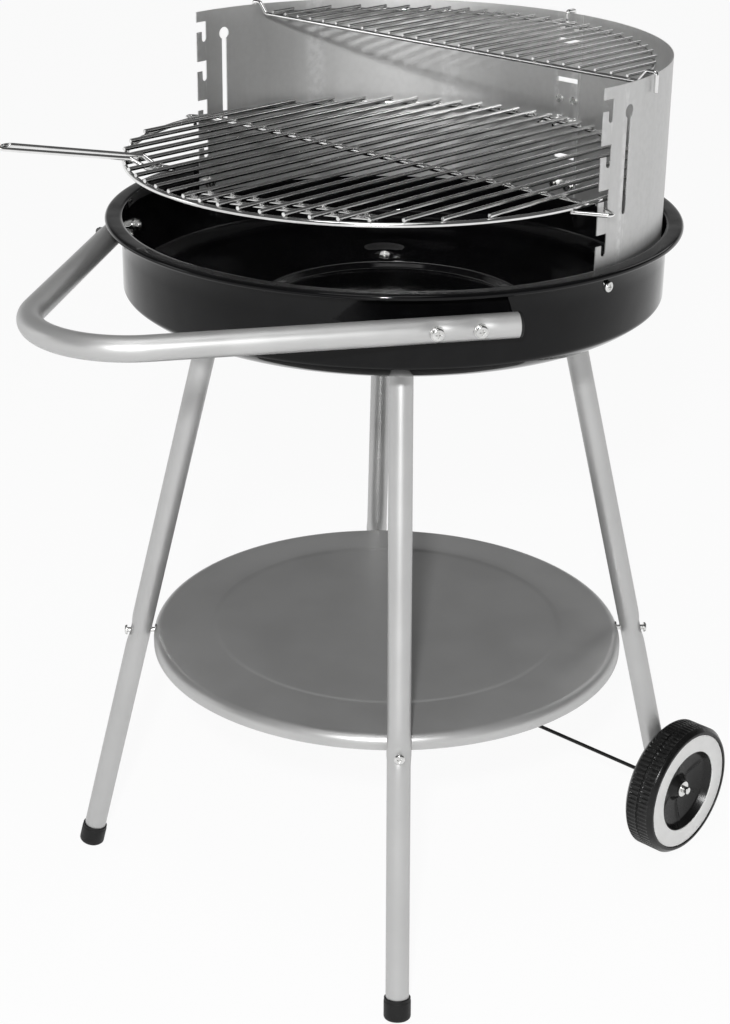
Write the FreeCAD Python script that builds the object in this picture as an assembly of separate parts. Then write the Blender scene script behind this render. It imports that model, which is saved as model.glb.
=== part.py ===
"""Round charcoal barbecue: fire bowl on four tube legs, half-round windshield, push handle and two wheels.

Units are millimetres. The model is drawn about the bowl's upright axis with the user's side at -Y and the
axle along X. Every piece is then moved by FRAME_SHIFT, so that the origin is the middle of the footprint.
"""
import FreeCAD
import Part
import os
from math import asin, atan2, cos, degrees, hypot, pi, radians, sin, sqrt, tan

V = FreeCAD.Vector
X_AXIS = V(1, 0, 0)
Y_AXIS = V(0, 1, 0)
Z_AXIS = V(0, 0, 1)

# ---- shared sizes ----------------------------------------------------------------------------------------
TUBE_D = 22.0            # legs and push handle
TUBE_WALL = 1.2
FIT = 0.1                # radial room of a plug in its tube
SCREW_ROOM = 0.3         # radial room of a screw in its hole
RUN_FIT = 0.06           # radial room of a wheel on the axle
SKIN_GAP = 0.06          # between curved sheets and what is fastened flush to them

# ---- fire bowl -------------------------------------------------------------------------------------------
RIM_Z = 690.0            # top of the bowl's flat flange
BOWL_R = 255.0           # outside of the upright wall
FLANGE_W = 15.0          # flat flange and rolled edge past the wall
SHEET = 1.2              # enamelled sheet
ROLL_R = 2.6             # rolled edge
BOWL_DEPTH = 89.0        # flange to the underside of the bottom
BELLY_W = 52.0           # from the wall in to the flat bottom
BELLY_R = 76.0           # curve from the flat to the wall
WALL_BEND = 6.0          # bend where the curve meets the wall
DISC_IN = 76.0           # recessed centre, in from the edge of the flat
DISC_DROP = 5.0
DISC_SLOPE = 6.0         # width of the slope round the recess

# ---- legs ------------------------------------------------------------------------------------------------
LEG_AZIMUTHS = {"front_right": 315.0, "front_left": 225.0, "rear_right": 45.0, "rear_left": 135.0}
LEG_TOP_IN = 35.0        # leg axis at the bottom, in from the edge of the flat
LEG_SPLAY = 143.5        # how much further out the leg axis is at the ground
SEAT_R = 19.0            # flat of the pressed leg seat
SEAT_SLOPE = 6.0
SEAT_DROP = 5.5          # along the leg, below the bowl's bottom
SOCKET_OVER = 0.4        # collar past the tube
SOCKET_H = 4.0           # collar between seat and tube
SPIGOT_H = 26.0
LEG_SCREW_D = 6.0
CAP_WALL = 1.8           # rubber foot past the tube
CAP_H = 22.0
CAP_SOLE = 4.0           # rubber under the tube
CAP_EDGE = 4.0           # rounding round the sole
CAP_PLUG_H = 20.0

# ---- axle and wheels -------------------------------------------------------------------------------------
WHEEL_R = 70.0
WHEEL_W = 35.0
WHEEL_ROOM = 0.93         # tyre to the leaning leg, at the top of its bead
WHEEL_DISH_IN = 12.5     # depth of the dish round the leg
WHEEL_DISH_OUT = 9.0
WHEEL_WEB = 3.5
TYRE_IN_R = 60.0         # tyre bead, and outside of the white ring
RING_IN_R = 44.0
RING_T = 1.4
HUB_WALL = 7.0
AXLE_D = 4.0
AXLE_LEG_BELOW = 12.0    # leg tube past the axle
SPACER_OVER = 3.5        # ring between leg and hub, past the axle
SPACER_T = 1.6
WASHER_OVER = 6.5
WASHER_T = 1.6
END_CAP_WALL = 1.8
END_CAP_H = 6.0
WHEEL_PLAY = 0.4         # side play of a wheel, each side
HUB_OUT = 26.0           # outer end of the hub from the inner side of the tyre

# ---- shelf -----------------------------------------------------------------------------------------------
SHELF_Z = 262.0          # top face
SHELF_LIP = 17.5
SHELF_T = 1.0
SHELF_BEND = 5.0
SHELF_GAP = 0.3          # to the legs
SHELF_BORDER = 63.3      # from the edge in to the sunk middle
SHELF_STEP = 1.5
SHELF_STEP_W = 4.0
SHELF_SCREW_D = 5.0
SHELF_SCREW_DROP = 11.0  # below the top face

# ---- push handle -----------------------------------------------------------------------------------------
ARM_AZIMUTH = 33.7       # where an arm touches the wall, below the X axis
HANDLE_DROP = 30.0       # tube axis below the flange
ARM_TAIL = 40.5          # tube past the touching point
ARM_BOLT_PITCH = 37.5
ARM_BOLT_FORWARD = 13.0  # middle of the two bolts past the touching point
HANDLE_BEND_R = 87.0
HANDLE_GAP = 0.2         # tube to wall
HANDLE_BOLT_D = 6.0
SADDLE_T = 1.0           # saddle washer under a bolt head
PLUG_T = 2.5             # flange of an end plug
PLUG_H = 16.0

# ---- windshield ------------------------------------------------------------------------------------------
SHIELD_ROOM = 3.8        # sheets to the inside of the wall
SHIELD_T = 1.0
SHIELD_RISE = 154.0      # above the flange
SHIELD_BELOW_RIM = 30.0
SHIELD_HALF = 94.2       # degrees each side of the rear
SEAM_X = 7.8             # seam of the two sheets, to the right of the middle
SEAM_GAP = 0.4
STRIP_W = 32.0           # joining strip at the rear
STRIP_T = 1.0
NOTCH_COUNT = 4
NOTCH_PITCH = 38.6
NOTCH_FIRST = 10.0        # below the top
NOTCH_OPEN = 10.0        # height of the mouth
NOTCH_HOOK = 10.0        # how far the seat lies below the mouth
NOTCH_SLOT = 6.0
NOTCH_TOOTH = 7.0
REAR_SLOT_W = 26.0
REAR_SLOT_H = 5.0
KEY_FROM_EDGE = 36.5
KEY_HOLE_D = 12.0
KEY_SLOT_W = 6.0
KEY_TOP = 24.5           # middle of the hole, below the top
KEY_LENGTH = 86.0
SHIELD_SCREW_D = 5.0
SHIELD_SCREW_DROP = 18.0
SHIELD_SCREW_IN = 13.0
STRIP_SCREW_X = 9.0
RIVET_R = 2.5

# ---- cooking grid ----------------------------------------------------------------------------------------
GRID_LEVEL = 3           # which notch holds it
GRID_IN = 12.5           # ring wire in from the windshield
GRID_RING_D = 5.0
GRID_BAR_D = 4.0
GRID_BAR_PITCH = 20.4
GRID_BAR_OVER = 2.0      # bar past the ring
GRID_Y = -18.0           # middle of the grid from the bowl's axis
EAR_D = 4.0
EAR_TIP_OUT = 18.0       # tip of a side ear past the windshield
REAR_EAR_W = 18.0
REAR_EAR_OUT = 8.0       # past the windshield
REAR_EAR_BEND = 5.0
SEAT_GAP = 0.3           # wire to the edge it rests on
WELD_GAP = 0.02          # wires that only touch
OUTER_LOOP = (41.1, 239.9, 208.0, 169.0)  # inside the ring by, azimuth, heading, length
INNER_LOOP = (18.4, 312.0, 199.0, 181.0)
LOOP_RISE_GAP = 6        # the outer loop comes up in this gap between bars, left of the middle
LOOP_RISE_RUN = 12.0     # width of that rise across the bars
LOOP_RISE_BEND = 4.0
LOOP_TAPER = 52.0        # stretch where the two wires draw together
LOOP_D = 4.0
LOOP_W = 18.0
LOOP_ROOT_W = 5.0

# ---- warming rack ----------------------------------------------------------------------------------------
RACK_IN = 16.0           # arc wire in from the windshield
RACK_FRONT_Y = 58.0
RACK_DROP = 8.0         # frame below the windshield's top
RACK_FRAME_D = 4.0
RACK_BAR_D = 3.0
RACK_BAR_PITCH = 17.4
RACK_BAR_OVER = 2.0
HOOK_BEND = 3.0
HOOK_DOWN = 15.0
HOOK_SLOPE = 9.0         # length over which a chord end rises to its hook

# ---- screws ----------------------------------------------------------------------------------------------
HEAD_OVER = 2.5          # head radius past the shank
HEAD_H = 2.6
NUT_OVER = 2.2           # nut's inner radius past the shank
NUT_H = 4.0
THREAD_PAST = 2.0        # thread past the nut
PAD_T = 1.0              # plain washer
PAD_OVER = 3.5

# ---- worked out from the above ---------------------------------------------------------------------------
TUBE_R = TUBE_D / 2
SOCKET_R = TUBE_R + SOCKET_OVER
CAP_R = TUBE_R + CAP_WALL
HUB_R = AXLE_D / 2 + HUB_WALL
SPACER_R = AXLE_D / 2 + SPACER_OVER
WASHER_R = AXLE_D / 2 + WASHER_OVER
END_CAP_R = AXLE_D / 2 + END_CAP_WALL
RIM_R = BOWL_R + FLANGE_W
FLAT_R = BOWL_R - BELLY_W
DISC_R = FLAT_R - DISC_IN
LEG_TOP_R = FLAT_R - LEG_TOP_IN
LEG_FOOT_R = LEG_TOP_R + LEG_SPLAY
BOTTOM_Z = RIM_Z - BOWL_DEPTH
INNER_R = BOWL_R - SHEET
LEG_RUN = LEG_FOOT_R - LEG_TOP_R
LEG_LENGTH = hypot(LEG_RUN, BOTTOM_Z)
LEG_OUT = LEG_RUN / LEG_LENGTH
LEG_DOWN = BOTTOM_Z / LEG_LENGTH
HANDLE_Z = RIM_Z - HANDLE_DROP
HANDLE_R = BOWL_R + TUBE_R + HANDLE_GAP
SHIELD_R = INNER_R - SHIELD_ROOM
SHIELD_TOP = RIM_Z + SHIELD_RISE
SHIELD_IN = SHIELD_R - SHIELD_T
SHIELD_LOW = RIM_Z - SHIELD_BELOW_RIM
EDGE_AZIMUTH = 90.0 - SHIELD_HALF
SEAM_AZIMUTH = 90.0 - degrees(asin(SEAM_X / SHIELD_R))
NOTCH_SEATS = [SHIELD_TOP - NOTCH_FIRST - NOTCH_OPEN - NOTCH_HOOK - i * NOTCH_PITCH for i in range(NOTCH_COUNT)]
EAR_DROP = GRID_RING_D / 2 + EAR_D / 2 + WELD_GAP
GRID_Z = NOTCH_SEATS[GRID_LEVEL - 1] + SEAT_GAP + EAR_D / 2 + EAR_DROP
GRID_R = SHIELD_IN - GRID_IN
RACK_Z = SHIELD_TOP - RACK_DROP
RACK_R = SHIELD_IN - RACK_IN


def polar(radius, azimuth, z):
    """Point at a radius and azimuth (degrees) about the bowl's axis."""
    return V(radius * cos(radians(azimuth)), radius * sin(radians(azimuth)), z)


def leg_point(azimuth, down):
    """Point on a leg's axis, a distance down it from the bowl's underside."""
    return polar(LEG_TOP_R + down * LEG_OUT, azimuth, BOTTOM_Z - down * LEG_DOWN)


def leg_axis(azimuth):
    """Unit vector down a leg."""
    return polar(LEG_OUT, azimuth, -LEG_DOWN)


def leg_radius_at(z):
    """Distance from the bowl's axis to a leg's axis at a height."""
    return LEG_TOP_R + LEG_RUN * (BOTTOM_Z - z) / BOTTOM_Z


def leg_down_at(z):
    """Distance down a leg's axis to a height."""
    return (BOTTOM_Z - z) / LEG_DOWN


def rod(start, end, radius):
    """Solid cylinder between two points."""
    span = end.sub(start)
    return Part.makeCylinder(radius, span.Length, start, span)


def tube(start, end, radius, bore):
    """Hollow cylinder between two points."""
    reach = end.sub(start).normalize()
    return rod(start, end, radius).cut(rod(start.sub(reach), end.add(reach), bore))


def turned(points, axis_point=V(0, 0, 0), axis=Z_AXIS):
    """Solid of revolution from an outline of points, each (radius, z); a middle point of three makes an arc."""
    edges = []
    for piece in points:
        corners = [V(r, 0, z) for r, z in piece]
        if len(corners) == 2:
            edges.append(Part.makeLine(*corners))
        else:
            edges.append(Part.Arc(*corners).toShape())
    face = Part.Face(Part.Wire(edges))
    return face.revolve(axis_point, axis, 360)


def outline(points):
    """Straight pieces of a closed outline, for turned()."""
    return [(points[i], points[(i + 1) % len(points)]) for i in range(len(points))]


def disc_ring(outer, inner, z_low, z_high):
    """Flat ring about the bowl's axis."""
    ring = Part.makeCylinder(outer, z_high - z_low, V(0, 0, z_low))
    return ring.cut(Part.makeCylinder(inner, z_high - z_low + 2, V(0, 0, z_low - 1)))


def sector(outer, inner, z_low, z_high, start, end):
    """Curved sheet between two azimuths."""
    corners = [V(inner, 0, z_low), V(outer, 0, z_low), V(outer, 0, z_high), V(inner, 0, z_high)]
    face = Part.Face(Part.makePolygon(corners + corners[:1]))
    face.rotate(V(0, 0, 0), Z_AXIS, start)
    return face.revolve(V(0, 0, 0), Z_AXIS, end - start)


def wire_path(points, bend):
    """Wire through points with a round bend at each inner point."""
    edges = []
    last = points[0]
    for before, here, after in zip(points, points[1:], points[2:]):
        arm_in = before.sub(here).normalize()
        arm_out = after.sub(here).normalize()
        half = arm_in.getAngle(arm_out) / 2
        reach = bend / tan(half)
        start = here.add(V(arm_in).multiply(reach))
        end = here.add(V(arm_out).multiply(reach))
        middle_way = arm_in.add(arm_out).normalize()
        middle = here.add(middle_way.multiply(bend / sin(half) - bend))
        edges.append(Part.makeLine(last, start))
        edges.append(Part.Arc(start, middle, end).toShape())
        last = end
    edges.append(Part.makeLine(last, points[-1]))
    return Part.Wire(edges)


def bent_rod(points, radius, bend):
    """Round bar along a path with round bends."""
    way = points[1].sub(points[0])
    section = Part.Wire(Part.makeCircle(radius, points[0], way))
    return wire_path(points, bend).makePipeShell([section], True, False)


def prism(centre, way, across, height, sides=6):
    """Nut-like prism from a centre point along a direction; across is the inner radius."""
    side = way.cross(Z_AXIS)
    if side.Length < 0.1:
        side = way.cross(X_AXIS)
    side.normalize()
    other = way.cross(side).normalize()
    corner_r = across / cos(pi / sides)
    corners = []
    for i in range(sides):
        angle = 2 * pi * i / sides
        spoke = V(side).multiply(corner_r * cos(angle)).add(V(other).multiply(corner_r * sin(angle)))
        corners.append(centre.add(spoke))
    face = Part.Face(Part.makePolygon(corners + corners[:1]))
    return face.extrude(V(way).normalize().multiply(height))


def screw(head_at, way, shank, grip):
    """Domed-head screw: the head sits back from head_at, the shank runs along way."""
    way = V(way).normalize()
    head_r = shank / 2 + HEAD_OVER
    back = head_at.sub(V(way).multiply(HEAD_H))
    head = Part.makeCylinder(head_r, HEAD_H, back, way)
    rim = [edge for edge in head.Edges if edge.CenterOfMass.distanceToPoint(back) < 0.01]
    head = head.makeFillet(HEAD_H * 0.6, rim)
    slot_w = shank * 0.2
    side = way.cross(Z_AXIS)
    if side.Length < 0.1:
        side = way.cross(X_AXIS)
    side.normalize()
    for turn in (0, 90):
        arm = V(side)
        arm = FreeCAD.Rotation(way, turn).multVec(arm)
        flat = way.cross(arm).normalize()
        corner = back.sub(V(arm).multiply(shank * 0.45)).sub(V(flat).multiply(slot_w / 2)).sub(way)
        base = [corner, corner.add(V(arm).multiply(shank * 0.9))]
        base += [point.add(V(flat).multiply(slot_w)) for point in reversed(base)]
        cross = Part.Face(Part.makePolygon(base + base[:1])).extrude(V(way).multiply(1 + HEAD_H * 0.5))
        head = head.cut(cross)
    return head.fuse(Part.makeCylinder(shank / 2, grip, head_at, way)).removeSplitter()


def nut(at, way, shank):
    """Hexagon nut from a point along a direction, bored for its screw."""
    body = prism(at, V(way), shank / 2 + NUT_OVER, NUT_H)
    bore = Part.makeCylinder(shank / 2 + WELD_GAP, NUT_H + 2, at.sub(V(way).normalize()), V(way))
    return body.cut(bore)


def group(shapes):
    """Several solids kept as one sub-part."""
    return Part.makeCompound(shapes)


# ---- fire bowl -------------------------------------------------------------------------------------------
def bowl_outline(inset):
    """Filled half section of the bowl, moved inwards from its outside by inset."""
    wall_r = BOWL_R - inset
    floor_z = BOTTOM_Z + inset
    disc_z = floor_z - DISC_DROP
    belly_r = BELLY_R - inset
    belly_z = BOTTOM_Z + BELLY_R
    swing = asin((wall_r - FLAT_R) / belly_r)
    middle = (FLAT_R + belly_r * sin(swing / 2), belly_z - belly_r * cos(swing / 2))
    top_of_belly = (wall_r, belly_z - belly_r * cos(swing))
    return [
        ((0, disc_z), (DISC_R - DISC_SLOPE, disc_z)),
        ((DISC_R - DISC_SLOPE, disc_z), (DISC_R, floor_z)),
        ((DISC_R, floor_z), (FLAT_R, floor_z)),
        ((FLAT_R, floor_z), middle, top_of_belly),
        (top_of_belly, (wall_r, RIM_Z)),
        ((wall_r, RIM_Z), (0, RIM_Z)),
        ((0, RIM_Z), (0, disc_z)),
    ]


def bowl_body(inset):
    """Solid bowl shape with its wall bend rounded."""
    body = turned(bowl_outline(inset))
    wall_r = BOWL_R - inset
    bend = [edge for edge in body.Edges
            if isinstance(edge.Curve, Part.Circle) and abs(edge.Curve.Radius - wall_r) < 0.01
            and edge.Curve.Center.z < RIM_Z - 1]
    return body.makeFillet(WALL_BEND - inset, bend)


def seat_cone(azimuth, inset):
    """Pressed seat for a leg, square to the leg; it reaches up into the bowl."""
    reach_up = 10.0
    slope = SEAT_SLOPE / SEAT_DROP
    low_r = SEAT_R - inset / 2
    high_r = low_r + slope * (SEAT_DROP - inset + reach_up)
    start = leg_point(azimuth, SEAT_DROP - inset)
    back = leg_axis(azimuth).multiply(-1)
    return Part.makeCone(low_r, high_r, SEAT_DROP - inset + reach_up, start, back)


def fire_bowl():
    """Enamelled bowl: wall, belly, recessed floor, four leg seats, flange, rolled edge and all its holes."""
    outer = bowl_body(0)
    inner = bowl_body(SHEET)
    seats = [seat_cone(azimuth, 0) for azimuth in LEG_AZIMUTHS.values()]
    hollows = [seat_cone(azimuth, SHEET) for azimuth in LEG_AZIMUTHS.values()]
    bowl = outer.fuse(seats).cut([inner] + hollows)
    flange = disc_ring(RIM_R - ROLL_R, INNER_R, RIM_Z - SHEET, RIM_Z)
    roll = Part.makeTorus(RIM_R - ROLL_R, ROLL_R, V(0, 0, RIM_Z - ROLL_R))
    bowl = bowl.fuse([flange, roll])
    holes = []
    for azimuth in LEG_AZIMUTHS.values():
        holes.append(rod(leg_point(azimuth, -12), leg_point(azimuth, 12), LEG_SCREW_D / 2 + SCREW_ROOM))
    for side in (1, -1):
        for at, way, _ in arm_bolts(side):
            end = at.add(V(way).multiply(2 * TUBE_D))
            holes.append(rod(at, end, HANDLE_BOLT_D / 2 + SCREW_ROOM))
    for azimuth in shield_screw_azimuths():
        holes.append(shield_bore(azimuth))
    return bowl.cut(holes)


# ---- legs ------------------------------------------------------------------------------------------------
def leg_top():
    """Distance down a leg's axis to the top of its tube."""
    return SEAT_DROP + SOCKET_H


def leg_end(azimuth):
    """Distance down a leg's axis to the end of its tube."""
    if azimuth in (LEG_AZIMUTHS["rear_right"], LEG_AZIMUTHS["rear_left"]):
        return leg_down_at(WHEEL_R - AXLE_LEG_BELOW)
    return leg_down_at(CAP_SOLE + TUBE_R * LEG_OUT)


def shelf_screw_z():
    """Height of the screws that hold the shelf."""
    return SHELF_Z - SHELF_SCREW_DROP


def leg(azimuth):
    """Leg tube with its holes for the shelf screw and, on a wheel leg, the axle."""
    body = tube(leg_point(azimuth, leg_top()), leg_point(azimuth, leg_end(azimuth)), TUBE_R, TUBE_R - TUBE_WALL)
    z = shelf_screw_z()
    hole_r = SHELF_SCREW_D / 2 + SCREW_ROOM
    body = body.cut(rod(polar(SHELF_R - TUBE_D, azimuth, z), polar(SHELF_R + 2 * TUBE_D, azimuth, z), hole_r))
    if azimuth < 180:
        ends = [V(side * 2 * LEG_FOOT_R, AXLE_Y, WHEEL_R) for side in (-1, 1)]
        body = body.cut(rod(ends[0], ends[1], AXLE_D / 2 + FIT))
    return body


def leg_socket(azimuth):
    """Black collar and spigot between the bowl's seat and the leg tube, bored for its screw."""
    collar = rod(leg_point(azimuth, SEAT_DROP), leg_point(azimuth, leg_top()), SOCKET_R)
    spigot = rod(leg_point(azimuth, leg_top()), leg_point(azimuth, leg_top() + SPIGOT_H), TUBE_R - TUBE_WALL - FIT)
    bore = rod(leg_point(azimuth, 0), leg_point(azimuth, leg_top() + SPIGOT_H + 1), LEG_SCREW_D / 2 + WELD_GAP)
    return collar.fuse(spigot).cut(bore).removeSplitter()


def leg_screw(azimuth):
    """Screw from inside the bowl down the leg."""
    return screw(leg_point(azimuth, SEAT_DROP - SHEET), leg_axis(azimuth), LEG_SCREW_D, SHEET + SOCKET_H + SPIGOT_H * 0.8)


def foot_cap(azimuth):
    """Rubber foot pushed over the leg, with a plug inside the tube and a flat sole."""
    end = leg_end(azimuth)
    top = leg_down_at(0) - CAP_H
    centre = leg_point(azimuth, end)
    shell = rod(leg_point(azimuth, top), leg_point(azimuth, leg_down_at(0) + CAP_R), CAP_R)
    ground = Part.makeBox(8 * CAP_R, 8 * CAP_R, 4 * CAP_R, V(centre.x - 4 * CAP_R, centre.y - 4 * CAP_R, -4 * CAP_R))
    shell = shell.cut(ground)
    sole = [edge for edge in shell.Edges if edge.BoundBox.ZMax < 0.01]
    shell = shell.makeFillet(CAP_EDGE, sole)
    shell = shell.cut(rod(leg_point(azimuth, top - 1), centre, TUBE_R + FIT / 2))
    plug = rod(leg_point(azimuth, end - CAP_PLUG_H), leg_point(azimuth, end + 1), TUBE_R - TUBE_WALL - FIT)
    return shell.fuse(plug).removeSplitter()


# ---- axle and wheels -------------------------------------------------------------------------------------
def on_axle(x, side=1):
    """Point of the axle's line."""
    return V(side * x, AXLE_Y, WHEEL_R)


def axle_rod():
    """Thin rod through both wheel legs and both wheels."""
    return rod(on_axle(CAP_START_X + END_CAP_H - 1, -1), on_axle(CAP_START_X + END_CAP_H - 1), AXLE_D / 2)


def wheel_turned(points, side):
    """Solid of revolution about the axle from (radius, x) points, x measured from the tyre's inner side."""
    corners = [V(WHEEL_IN_X + x, 0, radius) for radius, x in points]
    face = Part.Face(Part.makePolygon(corners + corners[:1]))
    body = face.revolve(V(0, 0, 0), X_AXIS, 360)
    if side < 0:
        body = body.mirror(V(0, 0, 0), X_AXIS)
    body.translate(V(0, AXLE_Y, WHEEL_R))
    return body


def wheel_body(side):
    """Moulded wheel: tyre, web dished on both sides and hub."""
    web_in = WHEEL_DISH_IN
    web_out = WHEEL_DISH_IN + WHEEL_WEB
    bore = AXLE_D / 2 + RUN_FIT
    shoulder = (WHEEL_R - TYRE_IN_R) * 0.45
    return wheel_turned([
        (bore, HUB_IN), (HUB_R, HUB_IN), (HUB_R, web_in), (RING_IN_R + 8, web_in), (TYRE_IN_R - 2, web_in - 8),
        (TYRE_IN_R, 0), (WHEEL_R - shoulder, 0), (WHEEL_R, shoulder), (WHEEL_R, WHEEL_W - shoulder),
        (WHEEL_R - shoulder, WHEEL_W), (TYRE_IN_R, WHEEL_W), (TYRE_IN_R, WHEEL_W - RING_T - 1),
        (RING_IN_R, WHEEL_W - RING_T - 1), (RING_IN_R - 2, WHEEL_W - WHEEL_DISH_OUT),
        (HUB_R + 6, web_out + 3), (HUB_R, HUB_OUT), (bore, HUB_OUT)], side)


def wheel_ring(side):
    """Flat white ring let into the wheel's outer side."""
    low = WHEEL_W - RING_T - 1 + WELD_GAP
    return wheel_turned([(RING_IN_R, low), (TYRE_IN_R - FIT, low), (TYRE_IN_R - FIT, low + RING_T),
                         (RING_IN_R, low + RING_T)], side)


def axle_ring(x, length, radius, side):
    """Washer or spacer on the axle, from x outwards."""
    return tube(on_axle(x, side), on_axle(x + length, side), radius, AXLE_D / 2 + WELD_GAP)


def end_cap(side):
    """Push-on cap over the end of the axle."""
    shell = rod(on_axle(CAP_START_X, side), on_axle(CAP_START_X + END_CAP_H, side), END_CAP_R)
    bore = rod(on_axle(CAP_START_X - 1, side), on_axle(CAP_START_X + END_CAP_H - 1 + WELD_GAP, side), AXLE_D / 2 + WELD_GAP)
    return shell.cut(bore)


# ---- shelf -----------------------------------------------------------------------------------------------
def shelf():
    """Pressed shelf: stepped centre disc, flat border and a lip turned down between the legs."""
    low = SHELF_Z - SHELF_LIP
    step_z = SHELF_Z - SHELF_STEP
    inner_r = SHELF_R - SHELF_T
    plan = outline([
        (0, step_z), (SHELF_DISC_R, step_z), (SHELF_DISC_R + SHELF_STEP_W, SHELF_Z), (SHELF_R, SHELF_Z),
        (SHELF_R, low), (inner_r, low), (inner_r, SHELF_Z - SHELF_T), (SHELF_DISC_R + SHELF_STEP_W, SHELF_Z - SHELF_T),
        (SHELF_DISC_R, step_z - SHELF_T), (0, step_z - SHELF_T)])
    body = turned(plan)
    outer = [edge for edge in body.Edges if isinstance(edge.Curve, Part.Circle)
             and abs(edge.Curve.Radius - SHELF_R) < 0.01 and edge.Curve.Center.z > SHELF_Z - 1]
    body = body.makeFillet(SHELF_BEND, outer)
    inner = [edge for edge in body.Edges if isinstance(edge.Curve, Part.Circle)
             and abs(edge.Curve.Radius - inner_r) < 0.01 and edge.Curve.Center.z > SHELF_Z - 2]
    body = body.makeFillet(SHELF_BEND - SHELF_T, inner)
    z = shelf_screw_z()
    holes = [rod(polar(SHELF_R - 20, azimuth, z), polar(SHELF_R + 20, azimuth, z), SHELF_SCREW_D / 2 + SCREW_ROOM)
             for azimuth in LEG_AZIMUTHS.values()]
    return body.cut(holes)


def shelf_screws():
    """Four screws from outside through the legs into the shelf's lip."""
    z = shelf_screw_z()
    start_r = leg_radius_at(z) + TUBE_R / LEG_DOWN + TUBE_R * 0.15
    inner_r = SHELF_R - SHELF_T
    grip = start_r - inner_r + PAD_T + NUT_H + THREAD_PAST
    return group([screw(polar(start_r, azimuth, z), polar(-1, azimuth, 0), SHELF_SCREW_D, grip)
                  for azimuth in LEG_AZIMUTHS.values()])


def shelf_nuts():
    """Nut and washer of each shelf screw, inside the lip."""
    z = shelf_screw_z()
    inner_r = SHELF_R - SHELF_T
    inside = Part.makeCylinder(inner_r - SKIN_GAP, SHELF_LIP * 2, V(0, 0, z - SHELF_LIP))
    solids = []
    for azimuth in LEG_AZIMUTHS.values():
        way = polar(-1, azimuth, 0)
        pad = tube(polar(inner_r + 1, azimuth, z), polar(inner_r - PAD_T, azimuth, z),
                   SHELF_SCREW_D / 2 + PAD_OVER, SHELF_SCREW_D / 2 + WELD_GAP)
        solids.append(pad.common(inside))
        solids.append(nut(polar(inner_r - PAD_T, azimuth, z), way, SHELF_SCREW_D))
    return group(solids)


# ---- push handle -----------------------------------------------------------------------------------------
def arm_touch(side):
    """Point of an arm's axis nearest the bowl, and the arm's direction towards the user."""
    outwards = V(side * cos(radians(ARM_AZIMUTH)), -sin(radians(ARM_AZIMUTH)), 0)
    forward = V(-side * sin(radians(ARM_AZIMUTH)), -cos(radians(ARM_AZIMUTH)), 0)
    touch = V(outwards).multiply(HANDLE_R).add(V(0, 0, HANDLE_Z))
    return touch, outwards, forward


def handle_path():
    """Corners of the handle's axis: right tail, apex, left tail."""
    right, _, forward = arm_touch(1)
    left, _, left_forward = arm_touch(-1)
    apex = right.add(V(forward).multiply(right.x / sin(radians(ARM_AZIMUTH))))
    return [right.sub(V(forward).multiply(ARM_TAIL)), apex, left.sub(V(left_forward).multiply(ARM_TAIL))]


def arm_bolts(side):
    """The two bolts of an arm: start on the tube's outside, direction, and distance past the touching point."""
    touch, outwards, forward = arm_touch(side)
    start = touch.add(V(outwards).multiply(TUBE_R + SADDLE_T))
    way = V(outwards).multiply(-1)
    offsets = [ARM_BOLT_FORWARD + step * ARM_BOLT_PITCH / 2 for step in (-1, 1)]
    return [(start.add(V(forward).multiply(offset)), way, offset) for offset in offsets]


def push_handle():
    """One bent tube: two arms and the rounded grip."""
    path = handle_path()
    body = bent_rod(path, TUBE_R, HANDLE_BEND_R)
    longer = [path[0].add(path[0].sub(path[1]).normalize()), path[1], path[2].add(path[2].sub(path[1]).normalize())]
    body = body.cut(bent_rod(longer, TUBE_R - TUBE_WALL, HANDLE_BEND_R))
    bores = []
    for side in (1, -1):
        for at, way, _ in arm_bolts(side):
            bores.append(rod(at, at.add(V(way).multiply(TUBE_D + 4)), HANDLE_BOLT_D / 2 + SCREW_ROOM))
    return body.cut(bores)


def handle_plugs():
    """Black plugs in both ends of the handle tube."""
    path = handle_path()
    solids = []
    for end in (path[0], path[2]):
        way = end.sub(path[1]).normalize()
        flange = rod(end, end.add(V(way).multiply(PLUG_T)), TUBE_R)
        plug = rod(end.sub(V(way).multiply(PLUG_H)), end, TUBE_R - TUBE_WALL - FIT)
        solids.append(flange.fuse(plug).removeSplitter())
    return group(solids)


def wall_gap(offset):
    """How far a bolt's inner side of the wall lies from the bowl's axis, a distance along the arm from its touch."""
    return sqrt(INNER_R ** 2 - offset ** 2)


def handle_bolts():
    """Four bolts through the arms and the bowl's wall."""
    solids = []
    for side in (1, -1):
        for at, way, offset in arm_bolts(side):
            grip = HANDLE_R + TUBE_R + SADDLE_T - wall_gap(offset) + PAD_T + NUT_H + THREAD_PAST
            solids.append(screw(at, way, HANDLE_BOLT_D, grip))
    return group(solids)


def handle_saddles():
    """Saddle washers that seat the bolt heads on the round tube."""
    path = handle_path()
    core = bent_rod(path, TUBE_R + SKIN_GAP, HANDLE_BEND_R)
    solids = []
    for side in (1, -1):
        for at, way, _ in arm_bolts(side):
            solids.append(tube(at, at.add(V(way).multiply(SADDLE_T + 2)), HANDLE_BOLT_D / 2 + HEAD_OVER + 0.8,
                               HANDLE_BOLT_D / 2 + WELD_GAP).cut(core))
    return group(solids)


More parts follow.
